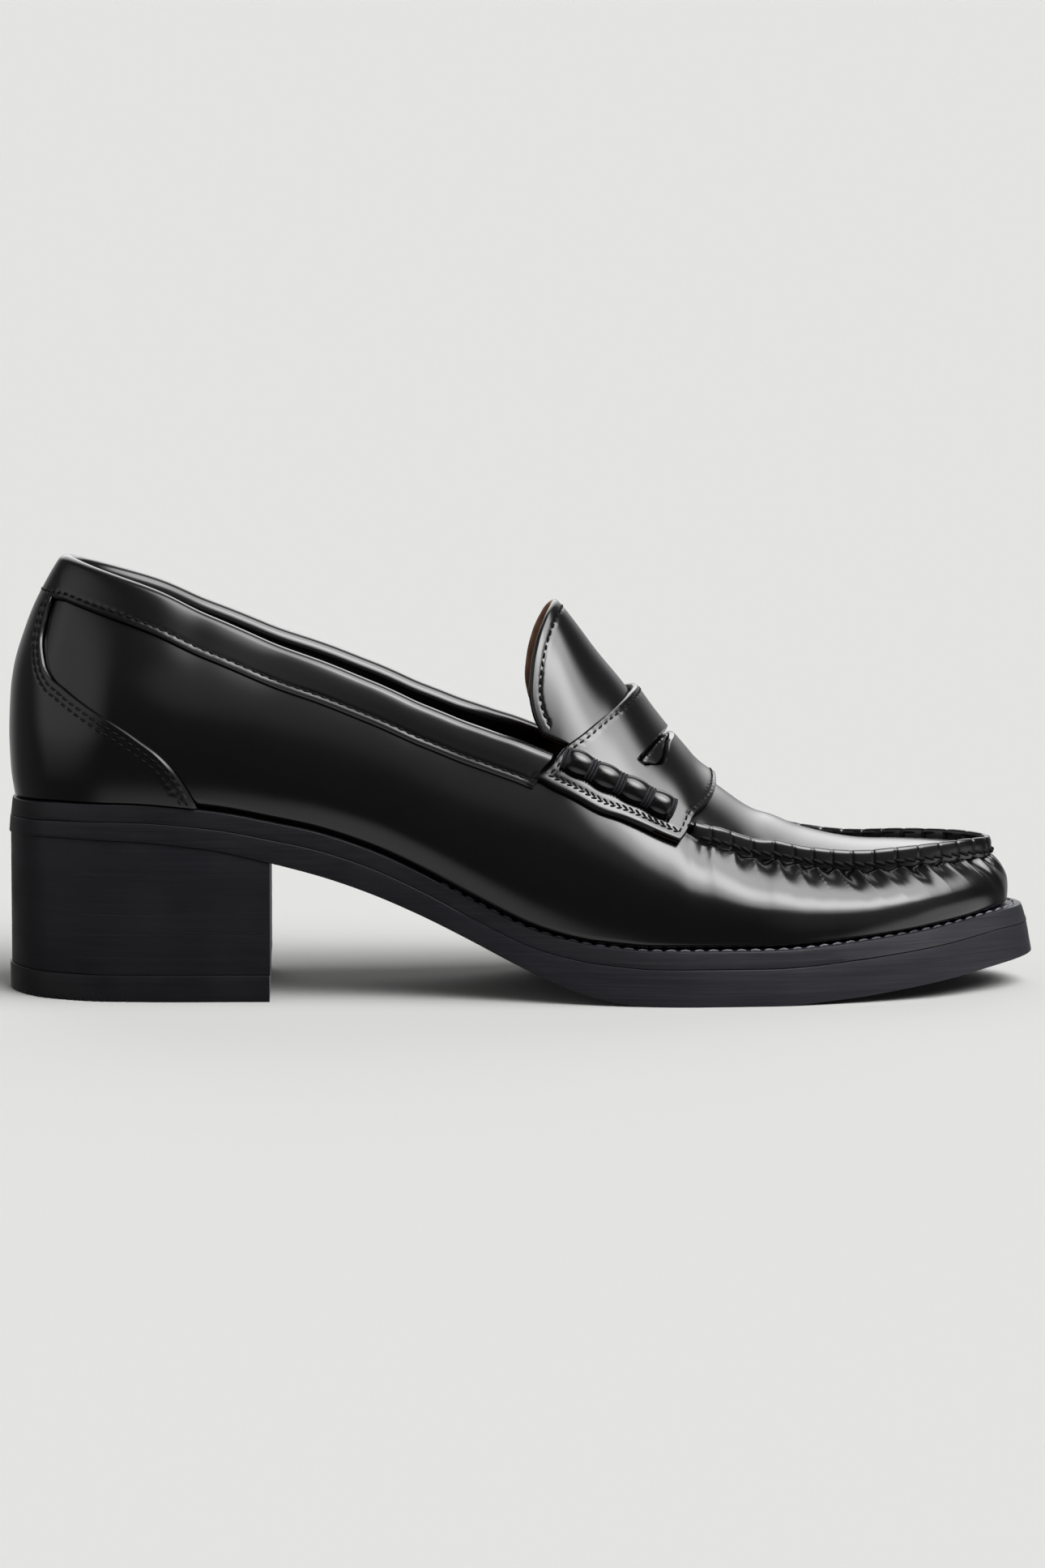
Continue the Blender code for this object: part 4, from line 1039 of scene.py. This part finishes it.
soleLean = last["soleLean"]
weltLean = last["weltLean"]
outsole = addLayer("rubberOutsole", soleUnder, soleOver, (0, weltLean / 3), (0, soleLean), toe)
give(outsole, (soleEdge,), ("outsole",))
welt = addLayer("stitchedWelt", lambda x: soleOver(x) + hair, weltOver, (weltLean / 2, weltLean),
                (soleLean, 2 * soleLean), toe, rim=0.0003)
give(welt, (weltEdge,), ("welt",))
heelLean = (last["heelInset"], last["heelInset"])
heel = addLayer("heelStack", lambda x: last["topPiece"] + hair + 0 * x, lambda x: soleUnder(x) - hair,
                heelLean, heelLean, breast, steps=110, rim=0.00014)
give(heel, (heelEdge,), ("heel_block",))
topPiece = addLayer("topPiece", lambda x: 0 * x, lambda x: last["topPiece"] + 0 * x, (0, 0), (0, 0), breast,
                    steps=420, rim=0.00014, notch=gripNotches)
give(topPiece, (rubberEdge,), ("heel_top_piece",))
print("sole and heel ready")

# Stitches

block = stitchBlock()
stitch = {"long": 0.0017, "wide": 0.00055, "high": 0.00010, "slant": 0.10}


def insideRow(points, border, depth, height):    # a line at a distance from one border
    grids = []
    for grid in (points, gridNormals(points)):
        grid = grid if border >= 2 else grid.transpose(1, 0, 2)
        grids.append(grid[::-1] if border in (1, 3) else grid)
    near = grids[0][:min(len(grids[0]), 40)]
    distance = lineDistance(near.reshape(-1, 3), [grids[0][0]])[0].reshape(near.shape[:2])
    line = []
    normals = []
    for k in range(near.shape[1]):
        past = np.nonzero(distance[:, k] >= depth)[0]
        if not len(past) or past[0] == 0:
            continue
        b = past[0]
        t = (depth - distance[b - 1, k]) / (distance[b, k] - distance[b - 1, k])
        normal = unit(grids[1][b - 1, k] * (1 - t) + grids[1][b, k] * t)
        line.append(near[b - 1, k] * (1 - t) + near[b, k] * t + normal * height)
        normals.append(normal)
    return np.array(line), np.array(normals)


def sewnRows(sheet, middle, sunk=0.00010, **settings):    # rows that lie in the sheet's own grooves
    rows = []
    for border in sheet["borders"]:
        for depth in sheet["sewn"]:
            line, normals = insideRow(middle, border, depth, sheet["offset"] + sheet["thick"] - sunk)
            rows.append({"line": line, "normals": normals, "pitch": sheet["pitch"], **stitch, **settings})
    return rows


sew("tongueStitches", sewnRows(tongueSheet, tongueMiddle, 0.00006, start=0.002, end=0.002))
strapRows = sewnRows(strapSheet, strapMiddle, start=0.002, end=0.002)
for border in (0, 1):    # crossed rows along the lower edge of each flap
    for depth, slant in flapSeam["rows"]:
        flapSheet = {**strapSheet, "borders": (border,), "sewn": (depth,), "pitch": flapSeam["pitch"]}
        strapRows += sewnRows(flapSheet, strapMiddle, start=0.0015, end=0.0015, slant=slant)
sew("strapStitches", strapRows, seed=5)
sew("collarStitches", sewnRows(collarSheet, bindMiddle), seed=7)
sew("counterStitches", sewnRows(counterSheet, counterMiddle, end=0.001), seed=9)

# Raised seam: a running stitch through its foot, and its inner side
seamFoot = middle + flat * half * 1.02 + np.array((0, 0, 0.00055))
keep = footX > seamFull
innerLine = middle - flat * half * 0.95 + np.array((0, 0, last["plugLift"] + 0.0006))
sideUp = unit(flat + np.array((0, 0, 0.15)))
innerUp = unit(-flat + np.array((0, 0, 0.35)))
sew("seamStitches", [
    {"line": seamFoot[keep], "normals": sideUp[keep], "pitch": 0.0027, "long": 0.0033, "wide": 0.00105,
     "high": 0.00020, "slant": -0.28, "loose": 0.10},
    {"line": innerLine[keep], "normals": innerUp[keep], "pitch": pleats["pitch"], "long": 0.0036,
     "wide": 0.0008, "high": 0.00005, "slant": 0.06},
], seed=13)

# Welt: long stitches in a channel near its edge, from the waist round the toe
weltLine = planLoop(toe, 400, weltLean + 0.0016, 2 * soleLean + 0.0018)
weltLine = weltLine[weltLine[:, 0] > -0.022]
weltPath = np.concatenate((weltLine, weltOver(weltLine[:, :1])), 1)
weltUp = np.tile(np.array((0.0, 0.0, 1.0)), (len(weltPath), 1))
sew("weltStitches", [
    {"line": weltPath, "normals": weltUp, "pitch": 0.0035, "long": 0.0031, "wide": 0.00066, "high": 0.00016,
     "slant": 0.08, "sag": 0.6},
], seed=17, finish=weltThread)

# Sock lining over the insole
sockSheet = {"thick": last["insole"] + 0.0002, "rim": 0.0010, "offset": 0.0, "clear": 0.0008, "ends": 0.06}
sockTurn = np.linspace(sockSheet["ends"], np.pi - sockSheet["ends"], 120)


def sockEdge(turn):    # just inside the upper's wall
    level = unit(ringNormal(turn, 0.0) * np.array((1, 1, 0)))
    return ringPoint(turn, 0.0) - level * (last["wall"] + sockSheet["clear"])


outEdge, inEdge = sockEdge(sockTurn)[:, None], sockEdge(-sockTurn)[:, None]
sockMiddle = outEdge + (inEdge - outEdge) * np.linspace(0, 1, 41)[None, :, None]
sockMiddle[..., 2] = weltOver(sockMiddle[..., 0]) + gap
sock = laySlab("sockLining", sockMiddle, sockSheet)
finishMesh(sock)
give(sock, (lining, lining), ("insole",))
print("stitches and sock ready")


# Studio

# A far disc of light, seen as a soft highlight in the polish
def addSoftbox(name, azimuth, height, strength, wideAngle):
    data = bpy.data.lights.new(name, "SUN")
    data.energy = strength
    data.angle = math.radians(wideAngle)
    lamp = bpy.data.objects.new(name, data)
    bpy.context.scene.collection.objects.link(lamp)
    lamp.rotation_euler = pointAt(azimuth, height).to_track_quat("Z", "Y").to_euler()


def addFloor():
    alone()
    bpy.ops.mesh.primitive_plane_add(size=180)
    floor = bpy.context.object
    floor.name = "floor"
    material = startMaterial("pale_floor", studio["floor"], 0.9, {"Specular IOR Level": 0.0})[0]
    floor.data.materials.append(material)
    floor.visible_glossy = False    # in the photo, dark cards round the set keep it out of the polish


def pointAt(azimuth, height):    # degrees; azimuth 0 is towards the camera, 90 beyond the toe
    a, h = math.radians(azimuth), math.radians(height)
    return Vector((math.sin(a) * math.cos(h), -math.cos(a) * math.cos(h), math.sin(h)))


def addWorld():    # a dim room with soft pale cards round the shoe, which the polish picks up
    world = bpy.data.worlds.new("studio")
    world.use_nodes = True
    tree = world.node_tree
    way = addNode(tree, "ShaderNodeTexCoord").outputs["Generated"]
    total = addNode(tree, "ShaderNodeValue").outputs[0]
    total.default_value = studio["dim"]
    for azimuth, height, near, far, level in studio["cards"]:
        aim = {"operation": "DOT_PRODUCT", 1: pointAt(azimuth, height)}
        facing = addNode(tree, "ShaderNodeVectorMath", aim, {0: way}).outputs["Value"]
        fade = {"From Min": math.cos(math.radians(far)), "From Max": math.cos(math.radians(near)),
                "To Max": level, "interpolation_type": "SMOOTHSTEP"}
        card = addNode(tree, "ShaderNodeMapRange", fade, {"Value": facing}).outputs["Result"]
        total = addNode(tree, "ShaderNodeMath", {"operation": "ADD"}, {0: total, 1: card}).outputs[0]
    back = tree.nodes["Background"]
    back.inputs["Color"].default_value = linear("#f6f6f6")
    tree.links.new(total, back.inputs["Strength"])
    bpy.context.scene.world = world


studio = {
    "floor": "#a2a2a1",
    "key": (62, 60, 1.0, 50),    # azimuth, height, strength, width in degrees
    "dim": 0.11,
    "cards": ((36, 46, 2, 24, 8.5), (64, 58, 8, 33, 7.5), (180, 34, 12, 34, 2.3), (180, 6, 20, 50, 0.3),
              (-68, 22, 18, 45, 0.75), (0, 31, 2, 13, 0.35), (80, -32, 20, 36, 1.6), (50, 8, 10, 40, 0.28),
              (-25, -58, 12, 34, 0.8)),    # azimuth, height, full and faded radius, brightness
}
addFloor()
addSoftbox("keyLight", *studio["key"])
addWorld()
bpy.context.scene.view_settings.view_transform = "Standard"
